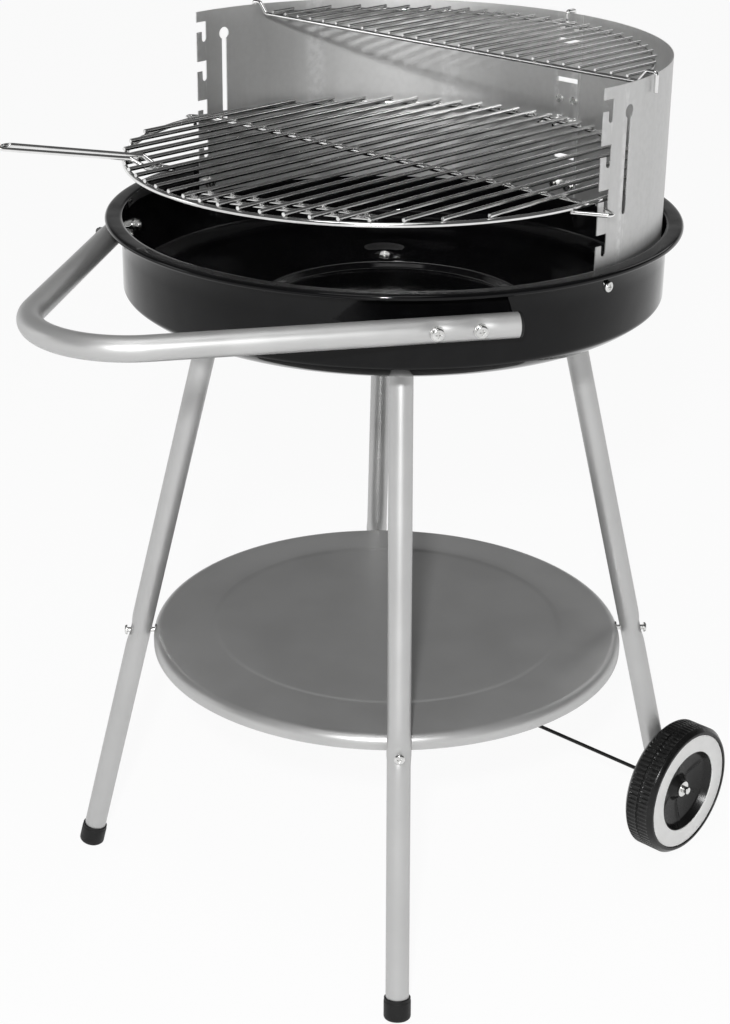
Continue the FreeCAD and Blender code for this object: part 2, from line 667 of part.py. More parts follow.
def handle_nuts():
    """Washer and nut of each handle bolt, inside the bowl."""
    inside = Part.makeCylinder(INNER_R - SKIN_GAP, BOWL_DEPTH, V(0, 0, BOTTOM_Z))
    solids = []
    for side in (1, -1):
        for at, way, offset in arm_bolts(side):
            reach = HANDLE_R + TUBE_R + SADDLE_T - wall_gap(abs(offset) + HANDLE_BOLT_D) + PAD_T
            start = at.add(V(way).multiply(reach - PAD_T - 2))
            flat = at.add(V(way).multiply(reach))
            pad = tube(start, flat, HANDLE_BOLT_D / 2 + PAD_OVER, HANDLE_BOLT_D / 2 + WELD_GAP)
            solids.append(pad.common(inside))
            solids.append(nut(flat, way, HANDLE_BOLT_D))
    return group(solids)


# ---- windshield ------------------------------------------------------------------------------------------
def shield_screw_azimuths():
    """Azimuths of the screws that hold the windshield: one near each front edge, two under the rear strip."""
    edge = EDGE_AZIMUTH + degrees(SHIELD_SCREW_IN / SHIELD_R)
    strip = degrees(STRIP_SCREW_X / SHIELD_R)
    return [edge, SEAM_AZIMUTH - strip, SEAM_AZIMUTH + strip, 180 - edge]


def shield_screw_z():
    """Height of the windshield's screws."""
    return RIM_Z - SHIELD_SCREW_DROP


def shield_bore(azimuth):
    """Hole along a radius for a windshield screw."""
    z = shield_screw_z()
    return rod(polar(SHIELD_R - 12, azimuth, z), polar(BOWL_R + 6, azimuth, z), SHIELD_SCREW_D / 2 + SCREW_ROOM)


def edge_block(arc_from, arc_to, z_low, z_high):
    """Block that cuts the right sheet between two distances along its arc from the front edge."""
    block = Part.makeBox(30, arc_to - arc_from, z_high - z_low, V(SHIELD_R - 15, arc_from, z_low))
    block.rotate(V(0, 0, 0), Z_AXIS, EDGE_AZIMUTH)
    return block


def edge_drill(arc, z, radius):
    """Round cut at a distance along the arc from the front edge."""
    drill = Part.makeCylinder(radius, 30, V(SHIELD_R - 15, arc, z), X_AXIS)
    drill.rotate(V(0, 0, 0), Z_AXIS, EDGE_AZIMUTH)
    return drill


def notch(seat_z):
    """J-shaped notch: a mouth at the edge and a slot that drops behind the tooth."""
    mouth_low = seat_z + NOTCH_HOOK
    far = NOTCH_TOOTH + NOTCH_SLOT
    half = NOTCH_SLOT / 2
    return [edge_block(-5, far, mouth_low, mouth_low + NOTCH_OPEN),
            edge_block(NOTCH_TOOTH, far, seat_z + half, mouth_low + 1),
            edge_drill(NOTCH_TOOTH + half, seat_z + half, half)]


def rear_slots():
    """Four slots through the joined sheets and the strip, level with the notches."""
    return [Part.makeBox(REAR_SLOT_W, 30, REAR_SLOT_H, V(SEAM_X - REAR_SLOT_W / 2, SHIELD_R - 15, seat_z))
            for seat_z in NOTCH_SEATS]


def rivet_spots():
    """Places (x, z) of the rivets that hold the strip between the slots."""
    top = (SHIELD_TOP + NOTCH_SEATS[0] + REAR_SLOT_H) / 2
    middle = (NOTCH_SEATS[1] + NOTCH_SEATS[2] + REAR_SLOT_H) / 2
    return [(SEAM_X + side * STRIP_SCREW_X, z) for z in (top, middle) for side in (-1, 1)]


def rear_cuts():
    """Slots, rivet holes and screw holes through the sheets and the strip."""
    rivets = [rod(V(x, SHIELD_R - 15, z), V(x, SHIELD_R + 15, z), RIVET_R) for x, z in rivet_spots()]
    return rear_slots() + rivets + [shield_bore(azimuth) for azimuth in shield_screw_azimuths()]


def shield_sheet(side):
    """One half of the windshield: notches and keyhole at the front edge, half slots at the seam."""
    seam = SEAM_AZIMUTH if side > 0 else 180 - SEAM_AZIMUTH
    sheet = sector(SHIELD_R, SHIELD_IN, SHIELD_LOW, SHIELD_TOP, EDGE_AZIMUTH, seam - degrees(SEAM_GAP / 2 / SHIELD_R))
    cuts = []
    for seat_z in NOTCH_SEATS:
        cuts += notch(seat_z)
    hole_z = SHIELD_TOP - KEY_TOP
    slot_low = hole_z - KEY_LENGTH
    cuts.append(edge_drill(KEY_FROM_EDGE, hole_z, KEY_HOLE_D / 2))
    cuts.append(edge_drill(KEY_FROM_EDGE, slot_low, KEY_SLOT_W / 2))
    cuts.append(edge_block(KEY_FROM_EDGE - KEY_SLOT_W / 2, KEY_FROM_EDGE + KEY_SLOT_W / 2, slot_low, hole_z))
    sheet = sheet.cut(cuts)
    if side < 0:
        sheet = sheet.mirror(V(0, 0, 0), X_AXIS)
    return sheet.cut(rear_cuts())


def shield_strip():
    """Joining strip inside the seam, with the same slots."""
    half = degrees(STRIP_W / 2 / SHIELD_IN)
    start = SEAM_AZIMUTH - half
    end = SEAM_AZIMUTH + half
    strip = sector(SHIELD_IN - SKIN_GAP, SHIELD_IN - STRIP_T, SHIELD_LOW, SHIELD_TOP, start, end)
    return strip.cut(rear_cuts())


def shield_rivets():
    """Rivets through the strip and the sheets, with a domed head on each side."""
    solids = []
    for x, z in rivet_spots():
        outer_y = sqrt(SHIELD_R ** 2 - x ** 2)
        inner_y = sqrt((SHIELD_IN - STRIP_T) ** 2 - x ** 2)
        head_r = RIVET_R + 1.6
        spread = head_r * (abs(x) + head_r) / SHIELD_R
        shank = rod(V(x, inner_y - spread, z), V(x, outer_y + spread, z), RIVET_R)
        outside = Part.makeCylinder(head_r, 1.2, V(x, outer_y + spread, z), Y_AXIS)
        inside = Part.makeCylinder(head_r, 1.2, V(x, inner_y - spread - 1.2, z), Y_AXIS)
        solids.append(shank.fuse([outside, inside]).removeSplitter())
    return group(solids)


def shield_inner(azimuth):
    """Radius of the face that a windshield nut's washer sits on."""
    if azimuth in shield_screw_azimuths()[1:3]:
        return SHIELD_IN - STRIP_T
    return SHIELD_IN


def shield_screws():
    """Screws from outside through the bowl's wall, a spacer and the windshield."""
    z = shield_screw_z()
    return group([screw(polar(BOWL_R, azimuth, z), polar(-1, azimuth, 0), SHIELD_SCREW_D,
                        BOWL_R - shield_inner(azimuth) + PAD_T + NUT_H + THREAD_PAST)
                  for azimuth in shield_screw_azimuths()])


def shield_spacers():
    """Spacers that fill the gap between wall and windshield round each screw."""
    z = shield_screw_z()
    ring = sector(INNER_R - SKIN_GAP, SHIELD_R + SKIN_GAP, z - 10, z + 10, 0, 360)
    solids = []
    for azimuth in shield_screw_azimuths():
        ends = [polar(SHIELD_R - 3, azimuth, z), polar(BOWL_R + 3, azimuth, z)]
        body = tube(ends[0], ends[1], SHIELD_SCREW_D / 2 + PAD_OVER, SHIELD_SCREW_D / 2 + WELD_GAP)
        solids.append(body.common(ring))
    return group(solids)


def shield_nuts():
    """Washer and nut of each windshield screw."""
    z = shield_screw_z()
    solids = []
    for azimuth in shield_screw_azimuths():
        face_r = shield_inner(azimuth)
        inside = Part.makeCylinder(face_r - SKIN_GAP, 30, V(0, 0, z - 15))
        pad = tube(polar(face_r + 1, azimuth, z), polar(face_r - PAD_T, azimuth, z),
                   SHIELD_SCREW_D / 2 + PAD_OVER, SHIELD_SCREW_D / 2 + WELD_GAP)
        solids.append(pad.common(inside))
        solids.append(nut(polar(face_r - PAD_T, azimuth, z), polar(-1, azimuth, 0), SHIELD_SCREW_D))
    return group(solids)


# ---- cooking grid ----------------------------------------------------------------------------------------
def grid_point(x, y, rise=0.0):
    """Point in the grid's plane, measured from the grid's middle."""
    return V(x, GRID_Y + y, GRID_Z + rise)


def bar_places(pitch, count):
    """Evenly spaced places, half on each side of the middle."""
    return [(i - (count - 1) / 2) * pitch for i in range(count)]


def grid_ring():
    """Round frame of the cooking grid."""
    return Part.makeTorus(GRID_R, GRID_RING_D / 2, grid_point(0, 0))


def grid_bars():
    """Parallel bars that lie on the ring."""
    count = 2 * int((GRID_R - GRID_BAR_D) / GRID_BAR_PITCH + 0.5)
    rise = GRID_RING_D / 2 + GRID_BAR_D / 2 + WELD_GAP
    solids = []
    for x in bar_places(GRID_BAR_PITCH, count):
        reach = sqrt(GRID_R ** 2 - x ** 2) + GRID_BAR_OVER
        solids.append(rod(grid_point(x, -reach, rise), grid_point(x, reach, rise), GRID_BAR_D / 2))
    return group(solids)


def grid_cross_bar():
    """Bar under the others, across the middle of the ring."""
    reach = GRID_R - GRID_RING_D / 2 + WELD_GAP
    bar = rod(grid_point(-reach, 0), grid_point(reach, 0), GRID_RING_D / 2)
    return bar.cut(grid_ring())


def side_ear_half():
    """Half the width of a side ear at the ring, so that its rear wire meets the notch's slot."""
    azimuth = EDGE_AZIMUTH + degrees((NOTCH_TOOTH + NOTCH_SLOT / 2) / SHIELD_R)
    slot_x = SHIELD_R * cos(radians(azimuth))
    slot_y = SHIELD_R * sin(radians(azimuth)) - GRID_Y
    tip_x = SHIELD_R + EAR_TIP_OUT
    return slot_y * (tip_x - GRID_R + GRID_RING_D / 2) / (tip_x - slot_x)


def side_ears():
    """V-shaped wires under both sides of the ring, which hang in the notches."""
    half = side_ear_half()
    root = GRID_R - GRID_RING_D / 2
    solids = []
    for side in (1, -1):
        path = [grid_point(side * root, -half, -EAR_DROP), grid_point(side * (SHIELD_R + EAR_TIP_OUT), 0, -EAR_DROP),
                grid_point(side * root, half, -EAR_DROP)]
        solids.append(bent_rod(path, EAR_D / 2, EAR_D))
    return group(solids)


def rear_ear():
    """Flat wire loop under the back of the ring, which reaches through the rear slot."""
    far = SHIELD_R + REAR_EAR_OUT - GRID_Y
    right = SEAM_X + REAR_EAR_W / 2
    left = SEAM_X - REAR_EAR_W / 2
    near = sqrt((GRID_R - GRID_RING_D / 2) ** 2 - right ** 2)
    corners = [(left, near), (left, far), (right, far), (right, near)]
    return bent_rod([grid_point(x, y, -EAR_DROP) for x, y in corners], EAR_D / 2, REAR_EAR_BEND)


def loop_frame(place):
    """Root of a wire handle in the grid's plane, its heading and its side."""
    inside, azimuth, heading, _ = place
    root = polar(GRID_R - inside, azimuth, GRID_Z).add(V(0, GRID_Y, 0))
    return root, polar(1, heading, 0), polar(1, heading + 90, 0)


def loop_points(place, stations):
    """Corners of a wire handle: stations are (along, share of the full width, height) down one wire and back."""
    root, way, side = loop_frame(place)
    points = []
    for along, width, high in stations:
        spot = root.add(V(way).multiply(along)).add(V(side).multiply(width * LOOP_W / 2))
        points.append(V(spot.x, spot.y, GRID_Z + high))
    return points


def loop_width(along):
    """Share of the full width that a handle's wire has at a distance from its root."""
    root_share = LOOP_ROOT_W / LOOP_W
    return root_share + (1 - root_share) * min(1, along / LOOP_TAPER)


def rise_at(place, sign, shift):
    """Distance along a handle at which one of its wires is at the rise, plus a shift across the bars."""
    root, way, side = loop_frame(place)
    target = -LOOP_RISE_GAP * GRID_BAR_PITCH - shift
    along = (target - root.x) / way.x
    along -= sign * side.x * loop_width(along) * LOOP_W / 2 / way.x
    return along


def outer_loop():
    """Wire handle: its root lies under the bars, comes up between two of them and reaches out over the ring."""
    low = GRID_RING_D / 2 - LOOP_D / 2
    high = GRID_RING_D / 2 + GRID_BAR_D + LOOP_D / 2 + 2 * WELD_GAP
    end = OUTER_LOOP[3] - LOOP_D / 2
    wires = []
    for sign in (1, -1):
        foot = rise_at(OUTER_LOOP, sign, -LOOP_RISE_RUN / 2)
        crest = rise_at(OUTER_LOOP, sign, LOOP_RISE_RUN / 2)
        wires.append([(0, sign * loop_width(0), low), (foot, sign * loop_width(foot), low),
                      (crest, sign * loop_width(crest), high), (end, sign, high)])
    points = loop_points(OUTER_LOOP, wires[0] + wires[1][::-1])
    round_end = bent_rod([points[3].sub(V(points[3].sub(points[2])).multiply(0.5)), points[3], points[4],
                          points[4].sub(V(points[4].sub(points[5])).multiply(0.5))], LOOP_D / 2, LOOP_W * 0.45)
    arms = [bent_rod([wire[0], wire[1], wire[2], wire[2].add(V(wire[3].sub(wire[2])).multiply(0.5))],
                     LOOP_D / 2, LOOP_RISE_BEND) for wire in (points[:4], points[:3:-1])]
    return round_end.fuse(arms).removeSplitter()


def inner_loop():
    """Wire handle under the bars, inside the front of the ring."""
    low = GRID_RING_D / 2 - LOOP_D / 2
    end = INNER_LOOP[3] - LOOP_D / 2
    wire = [(0, loop_width(0), low), (LOOP_TAPER, 1, low), (end, 1, low)]
    back = [(along, -width, high) for along, width, high in reversed(wire)]
    return bent_rod(loop_points(INNER_LOOP, wire + back), LOOP_D / 2, LOOP_W * 0.45)


# ---- warming rack ----------------------------------------------------------------------------------------
def hook_path(start, outwards, edge_r, thickness, slope):
    """Wire path of a hook: out from the frame, over the windshield's top and down its outside."""
    room = RACK_FRAME_D / 2 + SEAT_GAP
    top = SHIELD_TOP + room

    def at(along, z):
        point = start.add(V(outwards).multiply(along))
        return V(point.x, point.y, z)

    inner = edge_r - thickness - room - HOOK_BEND
    outer = edge_r + room + HOOK_BEND * 0.3
    return [start, at(inner - slope, start.z), at(inner, top), at(outer, top), at(outer, SHIELD_TOP - HOOK_DOWN)]


def rack_chord():
    """Straight front wire whose ends hook over the windshield."""
    start = V(0, RACK_FRONT_Y, RACK_Z)
    slant = sqrt(SHIELD_R ** 2 - (RACK_FRONT_Y + RACK_FRAME_D) ** 2) - sqrt(SHIELD_IN ** 2 - (RACK_FRONT_Y) ** 2)
    edge = sqrt(SHIELD_R ** 2 - (RACK_FRONT_Y - RACK_FRAME_D / 2) ** 2)
    right = hook_path(start, X_AXIS, edge, SHIELD_T + abs(slant), HOOK_SLOPE)
    left = [V(-point.x, point.y, point.z) for point in right]
    return bent_rod(left[:0:-1] + right[1:], RACK_FRAME_D / 2, HOOK_BEND)


def rack_arc():
    """Curved frame wire behind the chord."""
    swing = degrees(asin((RACK_FRONT_Y + RACK_FRAME_D) / RACK_R))
    section = Part.Face(Part.Wire(Part.makeCircle(RACK_FRAME_D / 2, V(RACK_R, 0, RACK_Z), Y_AXIS)))
    section.rotate(V(0, 0, 0), Z_AXIS, swing)
    return section.revolve(V(0, 0, 0), Z_AXIS, 180 - 2 * swing)


def rack_rear_hook():
    """Hook on the arc, in front of the seam."""
    start = V(SEAM_X, sqrt(RACK_R ** 2 - SEAM_X ** 2) + RACK_FRAME_D / 2, RACK_Z)
    path = hook_path(start, Y_AXIS, SHIELD_R - start.y, SHIELD_T + STRIP_T, 0)
    return bent_rod(path, RACK_FRAME_D / 2, HOOK_BEND * 0.5)


def rack_bars():
    """Parallel bars that lie on the rack's frame."""
    rise = RACK_FRAME_D / 2 + RACK_BAR_D / 2 + WELD_GAP
    solids = []
    count = 2 * int(sqrt(RACK_R ** 2 - RACK_FRONT_Y ** 2) / RACK_BAR_PITCH + 0.5)
    for x in bar_places(RACK_BAR_PITCH, count):
        front = V(x, RACK_FRONT_Y - RACK_BAR_OVER, RACK_Z + rise)
        back = V(x, sqrt(RACK_R ** 2 - x ** 2) + RACK_BAR_OVER, RACK_Z + rise)
        solids.append(rod(front, back, RACK_BAR_D / 2))
    return group(solids)


# ---- places that several pieces share --------------------------------------------------------------------
AXLE_RADIUS_OUT = leg_radius_at(WHEEL_R)
AXLE_Y = AXLE_RADIUS_OUT * cos(radians(45))
LEG_FACE_X = AXLE_Y + TUBE_R / sqrt(1 - (LEG_OUT * cos(radians(45))) ** 2)
WHEEL_IN_X = LEG_FACE_X - TYRE_IN_R * LEG_RUN * cos(radians(45)) / BOTTOM_Z + WHEEL_ROOM
SPACER_X = LEG_FACE_X + SPACER_R * LEG_RUN * cos(radians(45)) / BOTTOM_Z + SEAT_GAP
HUB_IN = SPACER_X + SPACER_T + WHEEL_PLAY - WHEEL_IN_X
WASHER_X = WHEEL_IN_X + HUB_OUT + WHEEL_PLAY
CAP_START_X = WASHER_X + WASHER_T + WELD_GAP
SHELF_R = leg_radius_at(SHELF_Z) - TUBE_R / LEG_DOWN - SHELF_GAP
SHELF_DISC_R = SHELF_R - SHELF_BORDER
HANDLE_TIP_Y = handle_path()[1].y + HANDLE_BEND_R / sin(radians(ARM_AZIMUTH)) - HANDLE_BEND_R - TUBE_R
REAR_Y = AXLE_Y + WHEEL_R
FRAME_SHIFT = V(0, -(HANDLE_TIP_Y + REAR_Y) / 2, 0)


def make_parts():
    """All sub-parts by node name, about the bowl's axis."""
    parts = {
        "fire_bowl": fire_bowl(),
        "axle_rod": axle_rod(),
        "shelf": shelf(),
        "shelf_screws": shelf_screws(),
        "shelf_nuts": shelf_nuts(),
        "push_handle": push_handle(),
        "handle_plugs": handle_plugs(),
        "handle_bolts": handle_bolts(),
        "handle_saddles": handle_saddles(),
        "handle_nuts": handle_nuts(),
        "windshield_right": shield_sheet(1),
        "windshield_left": shield_sheet(-1),
        "windshield_strip": shield_strip(),
        "windshield_rivets": shield_rivets(),
        "windshield_screws": shield_screws(),
        "windshield_spacers": shield_spacers(),
        "windshield_nuts": shield_nuts(),
        "grid_ring": grid_ring(),
        "grid_bars": grid_bars(),
        "grid_cross_bar": grid_cross_bar(),
        "grid_side_ears": side_ears(),
        "grid_rear_ear": rear_ear(),
        "grid_handle_outer": outer_loop(),
        "grid_handle_inner": inner_loop(),
        "rack_chord": rack_chord(),
        "rack_arc": rack_arc(),
        "rack_rear_hook": rack_rear_hook(),
        "rack_bars": rack_bars(),
    }
    for name, azimuth in LEG_AZIMUTHS.items():
        parts["leg_" + name] = leg(azimuth)
        parts["socket_" + name] = leg_socket(azimuth)
        if name.startswith("front"):
            parts["foot_" + name] = foot_cap(azimuth)
    parts["leg_screws"] = group([leg_screw(azimuth) for azimuth in LEG_AZIMUTHS.values()])
    for name, side in (("right", 1), ("left", -1)):
        parts["wheel_" + name] = wheel_body(side)
        parts["wheel_ring_" + name] = wheel_ring(side)
        parts["axle_spacer_" + name] = axle_ring(SPACER_X, SPACER_T, SPACER_R, side)
        parts["axle_washer_" + name] = axle_ring(WASHER_X, WASHER_T, WASHER_R, side)
        parts["axle_cap_" + name] = end_cap(side)
    return parts


def export_parts():
    """Move every sub-part into the part's frame and write it."""
    os.makedirs("parts", exist_ok=True)
    for name, shape in make_parts().items():
        shape.translate(FRAME_SHIFT)
        shape.exportStep("parts/" + name + ".step")
        print(name, "solids", len(shape.Solids), "valid", shape.isValid(), "volume", round(shape.Volume))


export_parts()
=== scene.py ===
"""Round charcoal barbecue: the visual model, dressed piece by piece over the CAD frame.

Lengths are metres. Every piece keeps its place in its mesh, as the CAD nodes do, and its object stays at the
origin. The bowl's upright axis stands at BOWL_AXIS; the user's side is -Y and the axle runs along X.
"""

import logging
import math
from dataclasses import dataclass, field
from enum import Enum
from typing import Sequence

import bmesh
import bpy
from mathutils import Matrix, Quaternion, Vector


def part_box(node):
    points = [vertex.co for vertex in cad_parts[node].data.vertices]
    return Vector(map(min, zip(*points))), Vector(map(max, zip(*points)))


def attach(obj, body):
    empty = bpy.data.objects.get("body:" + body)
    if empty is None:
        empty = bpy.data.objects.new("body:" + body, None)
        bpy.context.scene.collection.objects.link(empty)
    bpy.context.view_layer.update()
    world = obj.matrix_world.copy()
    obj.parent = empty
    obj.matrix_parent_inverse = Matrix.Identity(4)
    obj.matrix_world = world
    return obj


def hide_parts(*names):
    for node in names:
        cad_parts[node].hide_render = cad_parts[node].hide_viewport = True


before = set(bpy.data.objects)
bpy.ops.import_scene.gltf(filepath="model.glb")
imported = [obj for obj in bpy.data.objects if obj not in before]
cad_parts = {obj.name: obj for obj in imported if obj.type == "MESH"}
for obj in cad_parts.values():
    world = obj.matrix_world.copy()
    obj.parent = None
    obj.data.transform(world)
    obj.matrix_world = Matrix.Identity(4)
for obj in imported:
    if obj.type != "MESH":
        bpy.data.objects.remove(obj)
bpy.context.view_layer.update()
LOG = logging.getLogger("barbecue")

MM = 0.001
BOWL_LOW, BOWL_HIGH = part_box("fire_bowl")
BOWL_AXIS = Vector((0.0, (BOWL_LOW.y + BOWL_HIGH.y) / 2, 0.0))
RIM_Z = BOWL_HIGH.z
Profile = Sequence[tuple[float, float]]


class Slot(Enum):
    """Material slots of the record."""

    ENAMEL = "enamel_black"
    SILVER = "silver_paint"
    SHEET = "satin_sheet"
    CHROME = "chrome_wire"
    ZINC = "zinc_steel"
    ROD = "black_rod"
    RUBBER = "black_rubber"
    PLASTIC = "black_plastic"
    WHEEL = "wheel_black"
    WHITE = "white_plastic"


# ---- shader building -------------------------------------------------------------------------------------
class NodeSketch:
    """Short notation for laying out the nodes of one tree."""

    def __init__(self, tree: bpy.types.NodeTree) -> None:
        """Start from an emptied tree."""
        self.tree = tree
        tree.nodes.clear()

    def add(self, kind: str, **values: object) -> bpy.types.Node:
        """Add a node.

        Args:
            kind: the node's type name.
            values: node properties, or input sockets by name with underscores for spaces.
        Returns:
            The new node.
        """
        node = self.tree.nodes.new(kind)
        for name, value in values.items():
            if hasattr(node, name):
                setattr(node, name, value)
            else:
                self.feed(node, name.replace("_", " "), value)
        return node

    def feed(self, node: bpy.types.Node, socket: str | int, value: object) -> None:
        """Set an input's value, or link it when the value is an output socket."""
        target = node.inputs[socket]
        if isinstance(value, bpy.types.NodeSocket):
            self.tree.links.new(value, target)
        else:
            target.default_value = value

    def math(self, operation: str, first: object, second: object = 0.0) -> bpy.types.NodeSocket:
        """Result of a Math node on two values or sockets."""
        node = self.tree.nodes.new("ShaderNodeMath")
        node.operation = operation
        self.feed(node, 0, first)
        self.feed(node, 1, second)
        return node.outputs[0]

    def spread(self, value: object, low: float, high: float, to_low: float,
               to_high: float) -> bpy.types.NodeSocket:
        """Value mapped from one range to another, clamped."""
        node = self.add("ShaderNodeMapRange", From_Min=low, From_Max=high, To_Min=to_low, To_Max=to_high)
        self.feed(node, "Value", value)
        return node.outputs["Result"]


def new_group(name: str, inputs: Sequence[tuple[str, str, object]],
              outputs: Sequence[tuple[str, str]]) -> NodeSketch:
    """An empty shader node group with named sockets.

    Args:
        name: the group's name.
        inputs: name, socket type and default of each input.
        outputs: name and socket type of each output.
    Returns:
        The sketch of its tree, with its input and output nodes in place.
    """
    tree = bpy.data.node_groups.new(name, "ShaderNodeTree")
    for label, kind, default in inputs:
        socket = tree.interface.new_socket(label, in_out="INPUT", socket_type=kind)
        if kind != "NodeSocketVector":
            socket.default_value = default
    for label, kind in outputs:
        tree.interface.new_socket(label, in_out="OUTPUT", socket_type=kind)
    sketch = NodeSketch(tree)
    sketch.source = sketch.add("NodeGroupInput")
    sketch.result = sketch.add("NodeGroupOutput")
    return sketch


FLOAT = "NodeSocketFloat"
COLOR = "NodeSocketColor"
VECTOR = "NodeSocketVector"


def grain_group() -> bpy.types.NodeTree:
    """Fine grain: a roughness that wanders and a height for the bump, both from stretched noise."""
    sketch = new_group(
        "Fine Grain",
        [("Vector", VECTOR, None), ("Scale", FLOAT, 400.0), ("Patch Scale", FLOAT, 12.0),
         ("Roughness Low", FLOAT, 0.2), ("Roughness High", FLOAT, 0.4)],
        [("Roughness", FLOAT), ("Height", FLOAT), ("Patches", FLOAT)])
    source = sketch.source.outputs
    fine = sketch.add("ShaderNodeTexNoise", Detail=3.0, Roughness=0.6)
    sketch.feed(fine, "Vector", source["Vector"])
    sketch.feed(fine, "Scale", source["Scale"])
    patch = sketch.add("ShaderNodeTexNoise", Detail=4.0, Roughness=0.55)
    sketch.feed(patch, "Vector", source["Vector"])
    sketch.feed(patch, "Scale", source["Patch Scale"])
    blend = sketch.math("ADD", sketch.math("MULTIPLY", fine.outputs[0], 0.4),
                        sketch.math("MULTIPLY", patch.outputs[0], 0.6))
    ramp = sketch.add("ShaderNodeMapRange", From_Min=0.35, From_Max=0.65)
    sketch.feed(ramp, "Value", blend)
    sketch.feed(ramp, "To Min", source["Roughness Low"])
    sketch.feed(ramp, "To Max", source["Roughness High"])
    sketch.feed(sketch.result, "Roughness", ramp.outputs[0])
    sketch.feed(sketch.result, "Height", fine.outputs[0])
    sketch.feed(sketch.result, "Patches", sketch.spread(patch.outputs[0], 0.38, 0.62, 0.0, 1.0))
    return sketch.tree


def dust_group() -> bpy.types.NodeTree:
    """Thin dust and handling marks that lighten a colour in broken patches."""
    sketch = new_group(
        "Handling Dust",
        [("Vector", VECTOR, None), ("Color", COLOR, (0.5, 0.5, 0.5, 1.0)),
         ("Dust", COLOR, (0.6, 0.6, 0.58, 1.0)), ("Amount", FLOAT, 0.1), ("Scale", FLOAT, 30.0)],
        [("Color", COLOR)])
    source = sketch.source.outputs
    broad = sketch.add("ShaderNodeTexNoise", Detail=5.0, Roughness=0.65)
    sketch.feed(broad, "Vector", source["Vector"])
    sketch.feed(broad, "Scale", source["Scale"])
    specks = sketch.add("ShaderNodeTexNoise", Detail=2.0, Scale=900.0)
    sketch.feed(specks, "Vector", source["Vector"])
    mask = sketch.math("MULTIPLY", sketch.spread(broad.outputs[0], 0.45, 0.75, 0.0, 1.0),
                       sketch.spread(specks.outputs[0], 0.4, 0.7, 0.3, 1.0))
    mix = sketch.add("ShaderNodeMix", data_type="RGBA")
    sketch.feed(mix, 0, sketch.math("MULTIPLY", mask, source["Amount"]))
    sketch.feed(mix, 6, source["Color"])
    sketch.feed(mix, 7, source["Dust"])
    sketch.feed(sketch.result, "Color", mix.outputs[2])
    return sketch.tree


def wear_and_highlight_group() -> bpy.types.NodeTree:
    """Edge wear and painted edge highlight: a mask along convex edges, broken up by noise."""
    sketch = new_group("Edge Wear And Highlight", [("Vector", VECTOR, None), ("Start", FLOAT, 0.52), ("End", FLOAT, 0.6)],
                       [("Mask", FLOAT)])
    source = sketch.source.outputs
    pointed = sketch.add("ShaderNodeNewGeometry")
    noise = sketch.add("ShaderNodeTexNoise", Scale=160.0, Detail=3.0)
    sketch.feed(noise, "Vector", source["Vector"])
    ramp = sketch.add("ShaderNodeMapRange")
    sketch.feed(ramp, "Value", pointed.outputs["Pointiness"])
    sketch.feed(ramp, "From Min", source["Start"])
    sketch.feed(ramp, "From Max", source["End"])
    broken = sketch.spread(noise.outputs[0], 0.35, 0.6, 0.2, 1.0)
    sketch.feed(sketch.result, "Mask", sketch.math("MULTIPLY", ramp.outputs[0], broken))
    return sketch.tree


